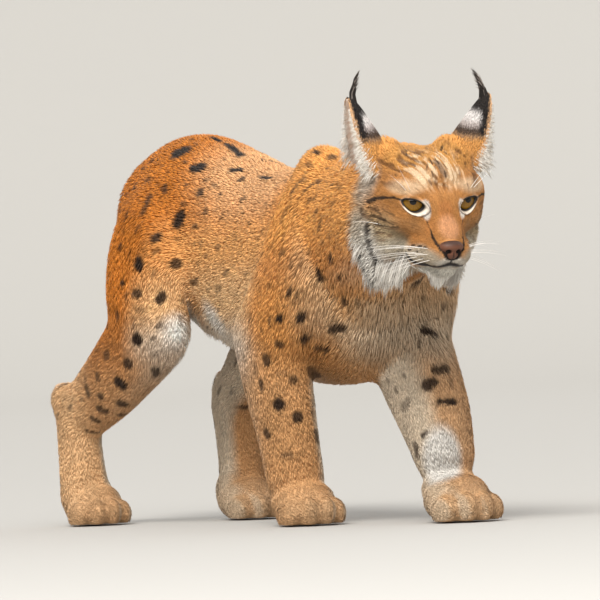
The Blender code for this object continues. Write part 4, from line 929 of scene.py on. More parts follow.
chance = np.random.default_rng(4)
corner = skin[skin_quads]
side_a, side_b = corner[:, 2] - corner[:, 0], corner[:, 3] - corner[:, 1]
area = np.linalg.norm(np.cross(side_a, side_b), axis=1) / 2
want = area / (long * wide)[skin_quads].mean(1) ** 0.92
bare = (to_eye < 1.16) | (nose_reach(local) < 1.0) | (outer[:, 2] < 0.004)
want *= ~bare[skin_quads].any(1)
chosen = np.sort(chance.choice(len(skin_quads), TUFTS, p=want / want.sum()))
across, upward = chance.random((2, TUFTS, 1))
weights = np.concatenate(((1 - across) * (1 - upward), across * (1 - upward), across * upward,
                          (1 - across) * upward), axis=1)[:, :, None]


def at_roots(values):
    values = values[skin_quads[chosen]]
    return (values * (weights if values.ndim == 3 else weights[:, :, 0])).sum(1)


root_place, outer_place = at_roots(rooted), at_roots(outer)
root_facing, root_flow = unit(at_roots(normals)), at_roots(flow)
root_long, root_lift, root_wide = at_roots(long), at_roots(lift), at_roots(wide)
swirl = 8 * (value_noise(outer_place, 0.022, 11) - 0.5) + chance.normal(0, 5, TUFTS)
turn = np.radians(swirl)[:, None]
root_flow = unit(root_flow - root_facing * (root_flow * root_facing).sum(1)[:, None])
lean = root_flow * np.cos(turn) + np.cross(root_facing, root_flow) * np.sin(turn)
root_long = root_long * chance.uniform(0.72, 1.22, TUFTS)
root_wide = root_wide * chance.uniform(0.8, 1.25, TUFTS)
angle = np.radians(root_lift * chance.uniform(0.75, 1.25, TUFTS))[:, None]
first = lean * np.cos(1.6 * angle) + root_facing * np.sin(1.6 * angle)
second = lean * np.cos(0.4 * angle) + root_facing * np.sin(0.4 * angle)
start = root_place - root_facing * ROOT_DEEP
knee = root_place + first * 0.4 * root_long[:, None]
tip = knee + second * 0.6 * root_long[:, None]
bend = (knee - start * 0.36 - tip * 0.16) / 0.48
points, triangles, share, patch = blades(start, bend, tip, root_facing, root_wide, 1)
points[:, 2] = np.maximum(points[:, 2], 0.0006)
# Each end of a tuft takes the colour of the place where it lies, so that marks keep their edges
lying = [outer_place + (tip - outer_place) * share_out for share_out in (0.30, 0.52, 0.80)]
tuft_colour = np.stack([coat_colour(place, root_facing) for place in lying], axis=1)

tree_of_nodes = KDTree(sum(len(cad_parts[n].data.vertices) for n in FLESH))
owners = []
for index, name in enumerate(FLESH):
    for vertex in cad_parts[name].data.vertices:
        tree_of_nodes.insert(vertex.co - Vector(SHIFT), len(owners))
        owners.append(index)
tree_of_nodes.balance()
vertex_owner = np.array([owners[tree_of_nodes.find(place)[1]] for place in outer])
tuft_owner = vertex_owner[skin_quads[chosen, 0]]
HALVES = {"torso": 3, "head": 2, "neck": 1}
for index, name in enumerate(FLESH):
    mine = np.nonzero(tuft_owner == index)[0]
    order = mine[np.argsort(outer_place[mine, 1], kind="stable")]
    for number, group in enumerate(np.array_split(order, HALVES.get(name, 1))):
        size = len(share)
        picked = points.reshape(TUFTS, size, 3)[group].reshape(-1, 3)
        faces = (triangles.reshape(TUFTS, -1, 3)[0][None] + np.arange(len(group))[:, None, None] * size).reshape(-1, 3)
        hair_object(f"coat_{name}_{number + 1}", (picked, faces, share, patch), outer_place[group],
                    root_facing[group], tuft_colour[group], (0.86, 1.0, 1.07), guard_hair, streaky=0.08, seed=40 + index)

# Ears: upright cups of thin skin-covered gristle, open outwards, clad in very short hair.
# The back is black at the tip and along the outer edge, with a white patch in the middle.
EAR_ROWS = 26
EAR_COLUMNS = 30


def ear_section(side, t):
    """The pinna's centre line and its half sizes at a share of its height, in the head's frame."""
    centre = Vector((-0.070 - 0.006 * t, side * (0.056 + 0.040 * t - 0.008 * t * t), 0.022 + 0.086 * t))
    taper = (1 - t) ** 0.70
    return centre, 0.004 + 0.034 * taper, 0.003 + 0.030 * taper


def ear_place(side, t, angle, less):
    centre, deep, wide = ear_section(side, t)
    turn = math.radians(angle)
    lean = Vector(((wide - less) * math.sin(turn), -side * (deep - less) * math.cos(turn), 0))
    return head_point(*(centre + lean))


def ear_back_colour(t, angle):
    """Up the back of the ear: tawny, black bar, grey, white patch, black tip and edges, and a tawny rim."""
    t, angle = np.asarray(t), np.asarray(angle)
    colour = np.tile(linear("#CC9250"), (len(t), 1))
    paint(colour, ramp(t, 0.40, 0.49) * 0.8, "#8E7763")
    paint(colour, ramp(t, 0.47, 0.52) * 0.9, "#362B28")
    paint(colour, ramp(t, 0.55, 0.62), "#B4A9A5")
    paint(colour, ramp(t, 0.61, 0.70), "#DDD8D6")
    paint(colour, ramp(t - 0.80 + 0.20 * ramp(angle, 56, 90), -0.06, 0.04), "#1D1A1B")
    paint(colour, ramp(t - 0.60 + 0.16 * ramp(angle, 70, 92), -0.02, 0.06) * ramp(angle, 66, 84), "#1D1A1B")
    paint(colour, ramp(-angle, 48, 74) * ramp(t, 0.46, 0.52), "#221D1C")
    paint(colour, ramp(angle, 96, 103), "#CBA27A")
    paint(colour, ramp(-angle, 94, 102), "#B68A5E")
    return colour


ear_chance = np.random.default_rng(17)
for side, ear_name in ((1, "ear_left"), (-1, "ear_right")):
    verts, tints, outer_grid, inner_grid = [], [], [], []
    for grid, inside in ((outer_grid, False), (inner_grid, True)):
        for i in range(EAR_ROWS):
            t = i / (EAR_ROWS - 1) * 0.985
            thick = (EAR_WALL - 0.0016) * (1 - 0.55 * t)
            row = []
            for j in range(EAR_COLUMNS):
                rim = abs(2 * j / (EAR_COLUMNS - 1) - 1)
                less = 0.0008 + (thick * (1 - 0.9 * rim**8) if inside else 0.0)
                row.append(len(verts))
                verts.append(ear_place(side, t, -112 + 224 * j / (EAR_COLUMNS - 1), less))
                tints.append((t, -112 + 224 * j / (EAR_COLUMNS - 1), inside))
            grid.append(row)
    faces = []
    for i in range(EAR_ROWS - 1):
        for j in range(EAR_COLUMNS - 1):
            a, b = outer_grid, inner_grid
            faces.append((a[i][j], a[i][j + 1], a[i + 1][j + 1], a[i + 1][j]))
            faces.append((b[i][j], b[i + 1][j], b[i + 1][j + 1], b[i][j + 1]))
        for j in (0, EAR_COLUMNS - 1):
            faces.append((outer_grid[i][j], outer_grid[i + 1][j], inner_grid[i + 1][j], inner_grid[i][j]))
    for i in (0, EAR_ROWS - 1):
        for j in range(EAR_COLUMNS - 1):
            faces.append((outer_grid[i][j], outer_grid[i][j + 1], inner_grid[i][j + 1], inner_grid[i][j]))
    share_up = np.array([t[0] for t in tints])
    bearing = np.array([t[1] for t in tints])
    inside = np.array([t[2] for t in tints])
    colour = ear_back_colour(share_up, bearing)
    colour *= 0.7
    colour[inside] = linear("#E0CAB9")
    ear = new_object(ear_name + "_shell", np.array(verts), faces, colour)
    bm = bmesh.new()
    bm.from_mesh(ear.data)
    bmesh.ops.recalc_face_normals(bm, faces=bm.faces)
    bm.to_mesh(ear.data)
    bm.free()
    ear.data.materials.append(hide)
    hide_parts(ear_name)

    # Short hair up the back of the cup
    count = 5200
    t = ear_chance.random(count) ** 0.9 * 0.97 + 0.01
    bearing = ear_chance.uniform(-112, 112, count)
    root = np.array([ear_place(side, a, b, 0.0008) for a, b in zip(t, bearing)])
    ahead = np.array([ear_place(side, min(a + 0.02, 0.99), b, 0.0008) for a, b in zip(t, bearing)])
    middle_line = np.array([head_point(*ear_section(side, a)[0]) for a in t])
    facing = unit(root - middle_line)
    upward = unit(ahead - root)
    wander = ear_chance.normal(0, 0.16, (count, 1))
    lean = unit(upward + np.cross(facing, upward) * wander)
    length = (0.0046 * ear_chance.uniform(0.7, 1.25, count))[:, None]
    tip = root + lean * length + facing * length * 0.22
    bend = root + lean * length * 0.4 + facing * length * 0.30
    pieces = blades(root - facing * 0.0006, bend, tip, facing, 0.0011 * ear_chance.uniform(0.8, 1.2, count), 1)
    stray_t, stray_bearing = t + ear_chance.normal(0, 0.014, count), bearing + ear_chance.normal(0, 4, count)
    mottled = np.stack([ear_back_colour(stray_t + ahead_t, stray_bearing) for ahead_t in (0.0, 0.022, 0.046)], axis=1)
    hair_object(ear_name + "_back", pieces, root, facing, mottled, (0.7, 1.0, 1.15),
                guard_hair, 0.12, 60)

    # White hair that stands out past both rims, and a soft mass of it that hangs below the cup's mouth
    out = np.array(HEAD_TURN @ Vector((side, 0, 0)))
    fore = np.array(HEAD_TURN @ Vector((0, -1, 0)))
    down = np.array(HEAD_TURN @ Vector((0, 0, -1)))
    for part, count in (("rims", 1300), ("mouth", 1300)):
        if part == "rims":
            t = ear_chance.uniform(0.10, 0.88, count)
            bearing = ear_chance.uniform(94, 112, count) * np.where(ear_chance.random(count) < 0.75, 1, -1)
            length = 0.0150 * (1.15 - 1.02 * t) * ear_chance.uniform(0.5, 1.2, count)
            wide, droop = 0.0006, 0.45
        else:
            t = ear_chance.uniform(0.05, 0.42, count)
            bearing = ear_chance.uniform(-112, 112, count)
            length = 0.021 * (1.1 - 0.9 * t) * ear_chance.uniform(0.6, 1.2, count)
            wide, droop = 0.0008, 1.3
        root = np.array([ear_place(side, a, b, 0.0018) for a, b in zip(t, bearing)])
        middle_line = np.array([head_point(*ear_section(side, a)[0]) for a in t])
        spread = ear_chance.normal(0, 0.20, (count, 3))
        first = unit(out + spread + fore * (0.20 * np.sign(bearing))[:, None] + down * 0.15)
        way = unit(out * 0.75 + down * droop + spread)
        bend = root + first * length[:, None] * 0.42
        tip = bend + way * length[:, None] * 0.62
        pale = np.where(ear_chance.random((count, 1)) < 0.85, linear("#F1ECE4"), linear("#B5A48E"))
        pieces = blades(root, bend, tip, np.tile(fore, (count, 1)), wide * ear_chance.uniform(0.7, 1.2, count), 2)
        hair_object(f"{ear_name}_hair_{part}", pieces, root, unit(root - middle_line), pale, (0.8, 1.0, 1.05),
                    guard_hair, 0.06, 61)

    # The black tuft: long hairs that stand on the tip and lean inwards to a fine point
    count = 90
    t = ear_chance.uniform(0.88, 0.985, count)
    bearing = ear_chance.uniform(-80, 90, count)
    root = np.array([ear_place(side, a, b, 0.0015) for a, b in zip(t, bearing)])
    length = ear_chance.uniform(0.40, 1.0, count)[:, None]
    goal = np.array(head_point(-0.092, side * 0.0700, 0.1385))
    over = np.array(head_point(-0.085, side * 0.0855, 0.1220))
    scatter = ear_chance.normal(0, 0.0006, (count, 3))
    tip = root + (goal - root) * length + scatter * 1.5
    bend = root + (over - root) * (0.55 + 0.45 * length) + scatter
    dark = np.where(ear_chance.random((count, 1)) < 0.8, linear("#1C1817"), linear("#7A716B"))
    pieces = blades(root, bend, tip, np.tile(fore, (count, 1)), 0.0013 * ear_chance.uniform(0.7, 1.2, count), 3)
    hair_object(ear_name + "_tuft", pieces, root, np.tile(fore, (count, 1)), dark, (0.9, 1.0, 1.4),
                guard_hair, 0.15, 62)

# Ruff and beard: long soft hair that hangs from the cheeks and chin in overlapping pointed locks,
# white with a black patch, rooted in rows behind the jaw and falling back and down.
RUFF_ROOTS = ((-0.074, 0.056, 0.006), (-0.068, 0.062, -0.034), (-0.058, 0.056, -0.070), (-0.040, 0.046, -0.086),
              (-0.018, 0.032, -0.082))
RUFF_FALL = ((-0.020, 0.011, -0.038), (-0.016, 0.015, -0.048), (-0.012, 0.006, -0.057), (-0.012, 0.001, -0.048),
             (-0.010, -0.003, -0.032))


def along_line(points, share):
    """The places at given shares of the way along a smooth line."""
    spots = np.array(smooth_path(points, 8))
    place = np.clip(share, 0, 1) * (len(spots) - 1)
    low = np.minimum(place.astype(int), len(spots) - 2)
    return spots[low] + (place - low)[:, None] * (spots[low + 1] - spots[low])


def from_head(places):
    """Rows of forward, left, up as places in the animal's layout."""
    return np.array(HEAD_AT) + np.stack((places[:, 1], -places[:, 0], places[:, 2]), axis=1) @ np.array(HEAD_TURN).T


ruff_chance = np.random.default_rng(29)
for side, ruff_name in ((1, "ruff_left"), (-1, "ruff_right")):
    locks, per_lock = 160, 15
    share = np.repeat(ruff_chance.random(locks), per_lock)
    inward = np.repeat(ruff_chance.random(locks), per_lock)
    count = locks * per_lock
    root = along_line(RUFF_ROOTS, share)
    fall = along_line(RUFF_FALL, share)
    root += np.stack((0.026 * inward - 0.004, -0.006 * inward - 0.002, 0.010 * inward), axis=1)
    reach = np.repeat(ruff_chance.uniform(0.70, 1.08, locks), per_lock) * (1 - 0.30 * inward)
    point = root + fall * reach[:, None] + np.repeat(ruff_chance.normal(0, 0.0030, (locks, 3)), per_lock, axis=0)
    fan = ruff_chance.normal(0, 1.0, (count, 3))
    root = root + fan * np.array((0.0042, 0.0016, 0.0042))
    tip = root + (point - root) * ruff_chance.uniform(0.72, 1.03, count)[:, None] + fan * 0.0012
    out = np.array((0.25, 1.0, -0.25)) / 1.06
    bend = (root + tip) / 2 + out * 0.0055 + ruff_chance.normal(0, 0.0012, (count, 3))
    root = root - fall * 0.10 - out * 0.002
    for rows in (root, bend, tip):
        rows[:, 1] *= side
    facing = np.tile(out * np.array((1, side, 1)), (count, 1))
    folded = np.c_[root[:, 0] * 0.6 + tip[:, 0] * 0.4, np.abs(root[:, 1] * 0.6 + tip[:, 1] * 0.4),
                   root[:, 2] * 0.6 + tip[:, 2] * 0.4]
    colour = np.tile(linear("#EFEAE2"), (count, 1))
    paint(colour, ramp(folded[:, 2], -0.040, -0.015) * 0.7, "#CDB595")
    patch_away = np.linalg.norm((folded - np.array((-0.048, 0.062, -0.082))) / np.array((0.009, 0.020, 0.022)), axis=1)
    paint(colour, ramp(patch_away, 1.2, 0.8) * 0.9, "#2C2624")
    edge_away = np.linalg.norm((folded - np.array((-0.079, 0.064, -0.098))) / np.array((0.010, 0.020, 0.020)), axis=1)
    paint(colour, ramp(edge_away, 1.2, 0.8) * 0.85, "#332B27")
    place = from_head(root)
    pieces = blades(place, from_head(bend), from_head(tip), head_way(facing), np.full(count, 0.0014), 3, 0.2)
    hair_object(ruff_name, pieces, place, head_way(facing), colour, (0.75, 0.98, 1.05), guard_hair, 0.07, 63)

count = 620
across = ruff_chance.normal(0, 0.0085, count)
root = np.stack((0.030 - 0.018 * ruff_chance.random(count), across, np.full(count, -0.074)), axis=1)
drop = 0.027 * np.exp(-(across / 0.016) ** 2) * ruff_chance.uniform(0.45, 1.0, count) + 0.004
tip = root + np.stack((-0.22 * drop, -0.25 * across, -drop), axis=1)
bend = (root + tip) / 2 + np.array((0.0028, 0, 0)) + ruff_chance.normal(0, 0.0009, (count, 3))
facing = np.tile((1.0, 0.0, 0.0), (count, 1))
pieces = blades(from_head(root), from_head(bend), from_head(tip), head_way(facing), np.full(count, 0.0015), 3, 0.25)
hair_object("beard", pieces, from_head(root), head_way(facing), np.tile(linear("#F1ECE4"), (count, 1)),
            (0.65, 0.95, 1.05), guard_hair, 0.06, 64)

# Eyes: glassy wet balls, amber all across the opening, with a round black pupil and a dark edge.
# The iris is drawn in rings and rays about the line of sight under a clear wet coat, darker towards its top as painted
# shade from the upper lid and brow.
GAZE_OUT = 15
GAZE_UP = 14
IRIS_ANGLE = 50
PUPIL_ANGLE = 14.5

eye_glass, tree, shader = material("amber eye under a wet cornea", Roughness=0.12, IOR=1.376)
shader.inputs["Coat Weight"].default_value = 0.4
shader.inputs["Specular IOR Level"].default_value = 0.25
shader.inputs["Coat Roughness"].default_value = 0.02
painted = add_node(tree, "ShaderNodeAttribute", attribute_name="coat")
tree.links.new(painted.outputs["Color"], shader.inputs["Base Color"])
for side, eye_name in ((1, "eye_left"), (-1, "eye_right")):
    rings, around = 70, 120
    turn = np.array(HEAD_TURN @ tilt(0, 0, GAZE_OUT * side) @ tilt(-GAZE_UP, 0, 0))
    centre = np.array(head_point(0, EYE_OUT * side, 0))
    away = np.concatenate(([0.0], np.linspace(0.6, 75, rings), [90, 110, 130, 150, 170, 180]))
    verts, colour = [], []
    eye_rays = np.random.default_rng(31).random(around)
    eye_rays = (eye_rays + np.roll(eye_rays, 1)) / 2
    for angle in away[:-1]:
        for k in range(around):
            spin = 2 * math.pi * k / around
            a = math.radians(angle)
            local_way = np.array((math.sin(a) * math.cos(spin), -math.cos(a), math.sin(a) * math.sin(spin)))
            verts.append(centre + turn @ (local_way * (EYE_RADIUS * EYE_BROAD, EYE_RADIUS, EYE_RADIUS)))
            part = (angle - PUPIL_ANGLE) / (IRIS_ANGLE - PUPIL_ANGLE)
            tint = np.array(linear("#6A4A10")) * (1 - part) + np.array(linear("#8A6418")) * part
            # Painted shade: the iris is darkened towards its top, as under the upper lid and brow
            tint = tint * (0.78 + 0.44 * eye_rays[k]) * (0.78 - 0.42 * math.sin(spin))
            if part > 0.80:
                tint = tint * max(0.0, 1 - (part - 0.80) / 0.20) + np.array(linear("#1C120C")) * min(1, (part - 0.80) / 0.20)
            if angle < PUPIL_ANGLE:
                tint = np.array((0.002, 0.002, 0.002))
            if angle > IRIS_ANGLE:
                tint = np.array(linear("#2B1E18"))
            colour.append(tint)
    last = len(verts)
    verts.append(centre + turn @ (np.array((0, 1, 0)) * EYE_RADIUS))
    colour.append(np.array(linear("#2B1E18")))
    faces = []
    for i in range(len(away) - 2):
        for k in range(around):
            n = (k + 1) % around
            faces.append((i * around + k, i * around + n, (i + 1) * around + n, (i + 1) * around + k))
    start = (len(away) - 2) * around
    cap = [(start + k, start + (k + 1) % around, last, last) for k in range(around)]
    eye = new_object(eye_name + "_ball", np.array(verts), faces, np.array(colour))
    bm = bmesh.new()
    bm.from_mesh(eye.data)
    bmesh.ops.remove_doubles(bm, verts=bm.verts, dist=0.000002)
    bmesh.ops.holes_fill(bm, edges=bm.edges, sides=0)
    bmesh.ops.recalc_face_normals(bm, faces=bm.faces)
    bm.to_mesh(eye.data)
    bm.free()
    eye.data.materials.append(eye_glass)
    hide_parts(eye_name)

# Lids: thin bare rims round each eye, black-brown and moist, set on the ball and running out
# under the hair of the face.
lid_skin, tree, shader = material("bare lid skin", Roughness=0.50)
painted = add_node(tree, "ShaderNodeAttribute", attribute_name="coat")
tree.links.new(painted.outputs["Color"], shader.inputs["Base Color"])
for side, lid_name in ((1, "lids_left"), (-1, "lids_right")):
    turn = np.array(HEAD_TURN @ tilt(0, 0, LID_TURN * side))
    centre = np.array(head_point(0, EYE_OUT * side, 0))
    # Size of the ring, how proud it stands, and how far it has passed from the ball onto the face
    profile = ((0.96, -0.0030, 0.0), (0.96, -0.0002, 0.0), (0.98, 0.0007, 0.0), (1.03, 0.0012, 0.02),
               (1.10, 0.0012, 0.18), (1.18, 0.0010, 0.58), (1.28, 0.0006, 0.93), (1.42, 0.0002, 1.0), (1.54, -0.0026, 1.0))
    around = 96
    verts = []
    for scale, proud, onto in profile:
        for k in range(around):
            a = 2 * math.pi * k / around
            hooded = scale * (1 - 0.36 * max(math.sin(a), 0.0) ** 0.7 * max(0.0, min(1.0, (1.45 - scale) / 0.45)))
            x = LID_OPENING[0] * math.cos(a) * scale
            z = LID_OPENING[1] * math.sin(a) * (1 - 0.30 * math.cos(a) ** 2) * hooded + 0.20 * x * side + 0.0004
            x = x + 0.0012 * side
            on_ball = -math.sqrt(max((EYE_RADIUS + proud) ** 2 - (x / EYE_BROAD) ** 2 - z * z, 0.0))
            before = Vector(centre + turn @ np.array((x, -0.06, z)))
            face = skin_tree.ray_cast(before, Vector(turn @ np.array((0.0, 1.0, 0.0))))[0]
            on_face = ((np.array(face) - centre) @ turn)[1] - proud
            verts.append(centre + turn @ np.array((x, on_ball * (1 - onto) + on_face * onto, z)))
    verts = np.array(verts)
    colour = coat_colour(verts, np.tile(turn @ np.array((0, -1, 0)), (len(verts), 1)))
    colour[:around * 5] = linear("#17110F")
    faces = []
    for i in range(len(profile)):
        for k in range(around):
            n, m = (k + 1) % around, (i + 1) % len(profile)
            faces.append((i * around + k, i * around + n, m * around + n, m * around + k))
    lids = new_object(lid_name, verts, faces, colour)
    bm = bmesh.new()
    bm.from_mesh(lids.data)
    bmesh.ops.recalc_face_normals(bm, faces=bm.faces)
    bm.to_mesh(lids.data)
    bm.free()
    lids.data.materials.append(lid_skin)

# Nose: bare leather, brown-pink and finely pebbled, with comma-shaped nostrils.
def nose_fill(bm):
    turn = HEAD_TURN @ tilt(-8, 0, 0)
    muscle(bm, head_point(0.0535, 0, -0.0415), (0.0150, 0.0125, 0.0085), turn)
    muscle(bm, head_point(0.0545, 0, -0.0480), (0.0085, 0.0110, 0.0085), turn)


nose_mesh = melted(nose_fill, 0.0006)
nose_points = read(nose_mesh.vertices, "co", 3)
nose_edges = read(nose_mesh.edges, "vertices", 2, np.int64)
nose_points = smoothed(nose_points, nose_edges, np.full(len(nose_points), 14.0))
nose_local = in_head(nose_points)
nostril = np.zeros(len(nose_points))
for side in (1, -1):
    hole = np.linalg.norm((nose_local - np.array((0.0655, 0.0062 * side, -0.0450))) / np.array((0.0060, 0.0032, 0.0026)), axis=1)
    slit = np.linalg.norm((nose_local - np.array((0.0610, 0.0115 * side, -0.0475))) / np.array((0.0060, 0.0050, 0.0013)), axis=1)
    nostril = np.maximum(nostril, np.maximum(ramp(hole, 1.25, 0.75), ramp(slit, 1.3, 0.7) * 0.7))
groove = ramp(np.abs(nose_local[:, 1]), 0.0011, 0.0003) * ramp(-nose_local[:, 2], 0.043, 0.047)
sink = np.array(HEAD_TURN @ Vector((0, 1, 0)))
nose_points = nose_points + (nostril * 0.0052 + groove * 0.0010)[:, None] * sink
nose_quads = read(nose_mesh.loops, "vertex_index", 1, np.int64).reshape(-1, 4)
nose_tint = np.tile(linear("#66402F"), (len(nose_points), 1))
paint(nose_tint, ramp(nose_local[:, 2], -0.0400, -0.0345) * 0.85, "#33211C")
# Nostrils and the groove between the lobes painted near black: painted shade in the hollows
paint(nose_tint, np.clip(nostril * 1.4 + groove * 0.8, 0, 1), "#120B0A")
nose = new_object("nose_leather", nose_points, nose_quads, nose_tint)
leather, tree, shader = material("bare nose leather", Roughness=0.46)
shader.inputs["Specular IOR Level"].default_value = 0.3
painted = add_node(tree, "ShaderNodeAttribute", attribute_name="coat")
tree.links.new(painted.outputs["Color"], shader.inputs["Base Color"])
where = add_node(tree, "ShaderNodeTexCoord")
pebbles = add_node(tree, "ShaderNodeTexVoronoi", {"Vector": where.outputs["Object"], "Scale": 1100.0})
bump = add_node(tree, "ShaderNodeBump", {"Height": pebbles.outputs["Distance"], "Strength": 0.6, "Distance": 0.0003})
tree.links.new(bump.outputs["Normal"], shader.inputs["Normal"])
nose.data.materials.append(leather)
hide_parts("nose")

# Lips: a thin bare black edge along the mouth, and the cleft that joins it to the nose.


def on_skin(spot, lift=0.0):
    """The skin's place below a spot of the head's frame, looked for from in front."""
    inward = (head_point(-0.02, 0, -0.055) - head_point(*spot)).normalized()
    hit = skin_tree.ray_cast(head_point(*spot) - inward * 0.06, inward)[0]
    return np.array(hit - inward * lift)


def cord_mesh(name, path, radii, around=8):
    """A closed round tube along a path, pointed at both ends."""
    verts = []
    path = np.array(path)
    for i, centre in enumerate(path):
        ahead = unit((path[min(i + 1, len(path) - 1)] - path[max(i - 1, 0)])[None])[0]
        side = unit(np.cross(ahead, (0.3, 0.2, 1.0))[None])[0]
        up = np.cross(side, ahead)
        for k in range(around):
            a = 2 * math.pi * k / around
            verts.append(centre + radii[i] * (side * math.cos(a) + up * math.sin(a)))
    faces = []
    for i in range(len(path) - 1):
        for k in range(around):
            n = (k + 1) % around
            faces.append((i * around + k, i * around + n, (i + 1) * around + n, (i + 1) * around + k))
    for row in (0, len(path) - 1):
        for k in range(1, around // 2):
            ring = row * around
            quad = (ring + k - 1, ring + k, ring + around - k - 1, ring + around - k)
            faces.append(quad if k > 1 else (ring, ring + 1, ring + around - 2, ring + around - 1))
    return verts, faces


black_lip, tree, shader = material("bare black lip", Base_Color=(*linear("#1B1413"), 1.0), Roughness=0.4)
mouth_path = [on_skin(spot, 0.0004) for spot in MOUTH]
verts, faces = cord_mesh("lips", mouth_path, [0.0004] + [0.0017] * (len(mouth_path) - 2) + [0.0004])
cleft = [on_skin(spot, 0.0002) for spot in ((0.06, 0, -0.053), (0.058, 0, -0.058), (0.055, 0, -0.064))]
more, more_faces = cord_mesh("cleft", cleft, [0.0007, 0.0009, 0.0007])
faces += [tuple(i + len(verts) for i in f) for f in more_faces]
lips = new_object("lips", np.array(verts + more), faces)
bm = bmesh.new()
bm.from_mesh(lips.data)
bmesh.ops.recalc_face_normals(bm, faces=bm.faces)
bm.to_mesh(lips.data)
bm.free()
lips.data.materials.append(black_lip)

# Whiskers: stiff white bristles in rows on the upper lip, with a few over the eyes and on the cheeks.
WHISKER_ROOTS = (
    # forward, left, up on the head in mm, then length in mm, outward, up and back lean
    (44, 25, -45, 62, 1.0, 0.10, -0.55), (38, 28, -46, 74, 1.0, 0.02, -0.70), (30, 32, -47, 80, 1.0, 0.00, -0.85),
    (46, 25, -51, 66, 1.0, -0.10, -0.50), (39, 29, -52, 82, 1.0, -0.14, -0.70), (31, 33, -53, 84, 1.0, -0.16, -0.90),
    (48, 23, -57, 60, 1.0, -0.34, -0.45), (41, 28, -58, 72, 1.0, -0.38, -0.60), (33, 33, -58, 70, 1.0, -0.42, -0.85),
    (26, 35, -50, 66, 1.0, -0.06, -1.1), (12, 40, 21, 42, 0.5, 0.9, 0.1), (9, 44, 19, 36, 0.7, 0.8, 0.0),
    (-20, 64, -30, 40, 1.0, 0.2, -0.7),
)
verts, faces = [], []
whisker_chance = np.random.default_rng(5)
for side in (1, -1):
    for f, l, u, length, out, up, back in WHISKER_ROOTS:
        root = on_skin((f / 1000, l * side / 1000, u / 1000))
        away = np.array(HEAD_TURN @ Vector((out * side, -back, up)))
        away = away / np.linalg.norm(away)
        droop = np.array((0, 0, -1.0)) * length / 1000 * whisker_chance.uniform(0.08, 0.20)
        path = []
        for k in range(7):
            t = k / 6
            path.append(root - away * 0.002 + away * (length / 1000) * t + droop * t * t)
        more, more_faces = cord_mesh("whisker", path, [0.00030 * (1 - 0.85 * k / 6) for k in range(7)], around=6)
        faces += [tuple(i + len(verts) for i in face) for face in more_faces]
        verts += more
bristle, tree, shader = material("white whisker bristle", Base_Color=(*linear("#F4F0EA"), 1.0), Roughness=0.35)
whiskers = new_object("whiskers", np.array(verts), faces)
bm = bmesh.new()
bm.from_mesh(whiskers.data)
bmesh.ops.recalc_face_normals(bm, faces=bm.faces)
bm.to_mesh(whiskers.data)
bm.free()
whiskers.data.materials.append(bristle)

# Floor and backdrop: a wide round sheet of pale matt paper, flat under the feet and swept up far out on all
# sides, so that it has no edge from any view.
FLOOR_REACH = 12.0
SWEEP = 5.0
bm = bmesh.new()
profile = [(0.0, 0.0), (FLOOR_REACH / 2, 0.0)]
profile += [(FLOOR_REACH + SWEEP * math.sin(a), SWEEP * (1 - math.cos(a))) for a in
            [math.radians(9 * i) for i in range(11)]]
profile.append((FLOOR_REACH + SWEEP, 9.0))
rings = []
for reach, height in profile[1:]:
    spins = [2 * math.pi * k / 128 for k in range(128)]
    rings.append([bm.verts.new((reach * math.cos(a), reach * math.sin(a), height)) for a in spins])
bm.faces.new(rings[0])
for low, high in zip(rings, rings[1:]):
    for k in range(128):
        bm.faces.new((low[k], high[k], high[(k + 1) % 128], low[(k + 1) % 128]))
paper_mesh = bpy.data.meshes.new("paper_sweep")
bm.to_mesh(paper_mesh)
bm.free()
for face in paper_mesh.polygons:
    face.use_smooth = True
paper_sweep = bpy.data.objects.new("paper_sweep", paper_mesh)
bpy.context.scene.collection.objects.link(paper_sweep)
paper, tree, shader = material("pale matt paper", Base_Color=(*linear("#ABAAA7"), 1.0), Roughness=0.9)
paper_mesh.materials.append(paper)

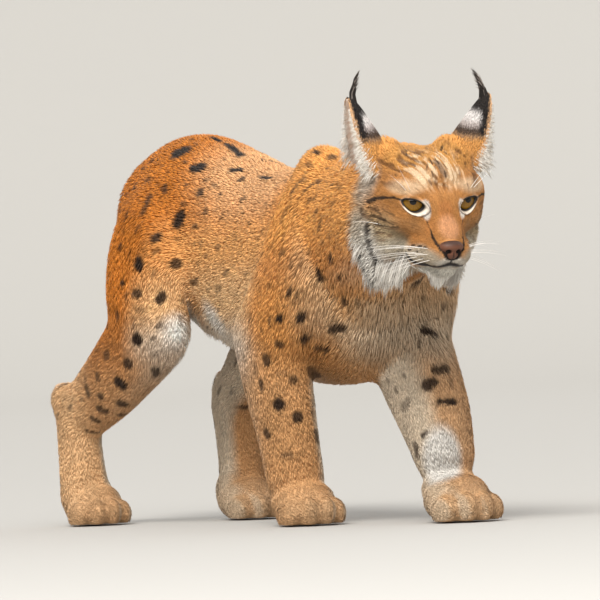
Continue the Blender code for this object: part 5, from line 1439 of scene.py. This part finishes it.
# Light: soft daylight from high on the camera's left, a broad soft lamp over the back and an even surround.
daylight = bpy.data.lights.new("daylight", "SUN")
daylight.energy = 2.7
daylight.angle = math.radians(30)
daylight.color = (1.0, 0.96, 0.90)
daylight_object = bpy.data.objects.new("daylight", daylight)
daylight_object.rotation_euler = Vector((0.62, 0.52, -1.0)).to_track_quat("-Z", "Y").to_euler()
lamp = bpy.data.lights.new("soft_lamp", "AREA")
lamp.size = 2.4
lamp.energy = 75
lamp.color = (1.0, 0.97, 0.93)
lamp_object = bpy.data.objects.new("soft_lamp", lamp)
lamp_object.location = (-1.6, -3.2, 2.2)
lamp_object.rotation_euler = (Vector((0, 0, 0.3)) - lamp_object.location).to_track_quat("-Z", "Y").to_euler()
for light in (daylight_object, lamp_object):
    bpy.context.scene.collection.objects.link(light)
world = bpy.data.worlds.new("surround")
world.use_nodes = True
world.node_tree.nodes["Background"].inputs["Color"].default_value = (1.0, 0.98, 0.96, 1.0)
world.node_tree.nodes["Background"].inputs["Strength"].default_value = 1.15
bpy.context.scene.world = world
bpy.context.scene.view_settings.view_transform = "Standard"

# Camera: a long lens, level with the middle of the body, ahead and to the right of the animal.
VIEW_BEARING = math.radians(-27)
VIEW_ROLL = math.radians(2.5)
VIEW_AWAY = 9.0
VIEW_HEIGHT = 0.272
PIXELS_PER_METRE = 815.0
ASIDE_PIXELS = 38
backward = Vector((math.sin(VIEW_BEARING), -math.cos(VIEW_BEARING), 0))
rightward = Vector((math.cos(VIEW_BEARING), math.sin(VIEW_BEARING), 0))
upward = backward.cross(rightward)
tilted_right = math.cos(VIEW_ROLL) * rightward - math.sin(VIEW_ROLL) * upward
tilted_up = math.sin(VIEW_ROLL) * rightward + math.cos(VIEW_ROLL) * upward
stand = backward * VIEW_AWAY + Vector((0, 0, VIEW_HEIGHT)) + rightward * (ASIDE_PIXELS / PIXELS_PER_METRE)
camera_data = bpy.data.cameras.new("camera")
camera_data.sensor_width = 36.0
camera_data.lens = PIXELS_PER_METRE * VIEW_AWAY * 36.0 / 600
camera_data.clip_end = 50.0
camera = bpy.data.objects.new("camera", camera_data)
place = stand + Vector(SHIFT)
camera.matrix_world = Matrix.Translation(place) @ Matrix((tilted_right, tilted_up, backward)).transposed().to_4x4()
bpy.context.scene.collection.objects.link(camera)
bpy.context.scene.camera = camera
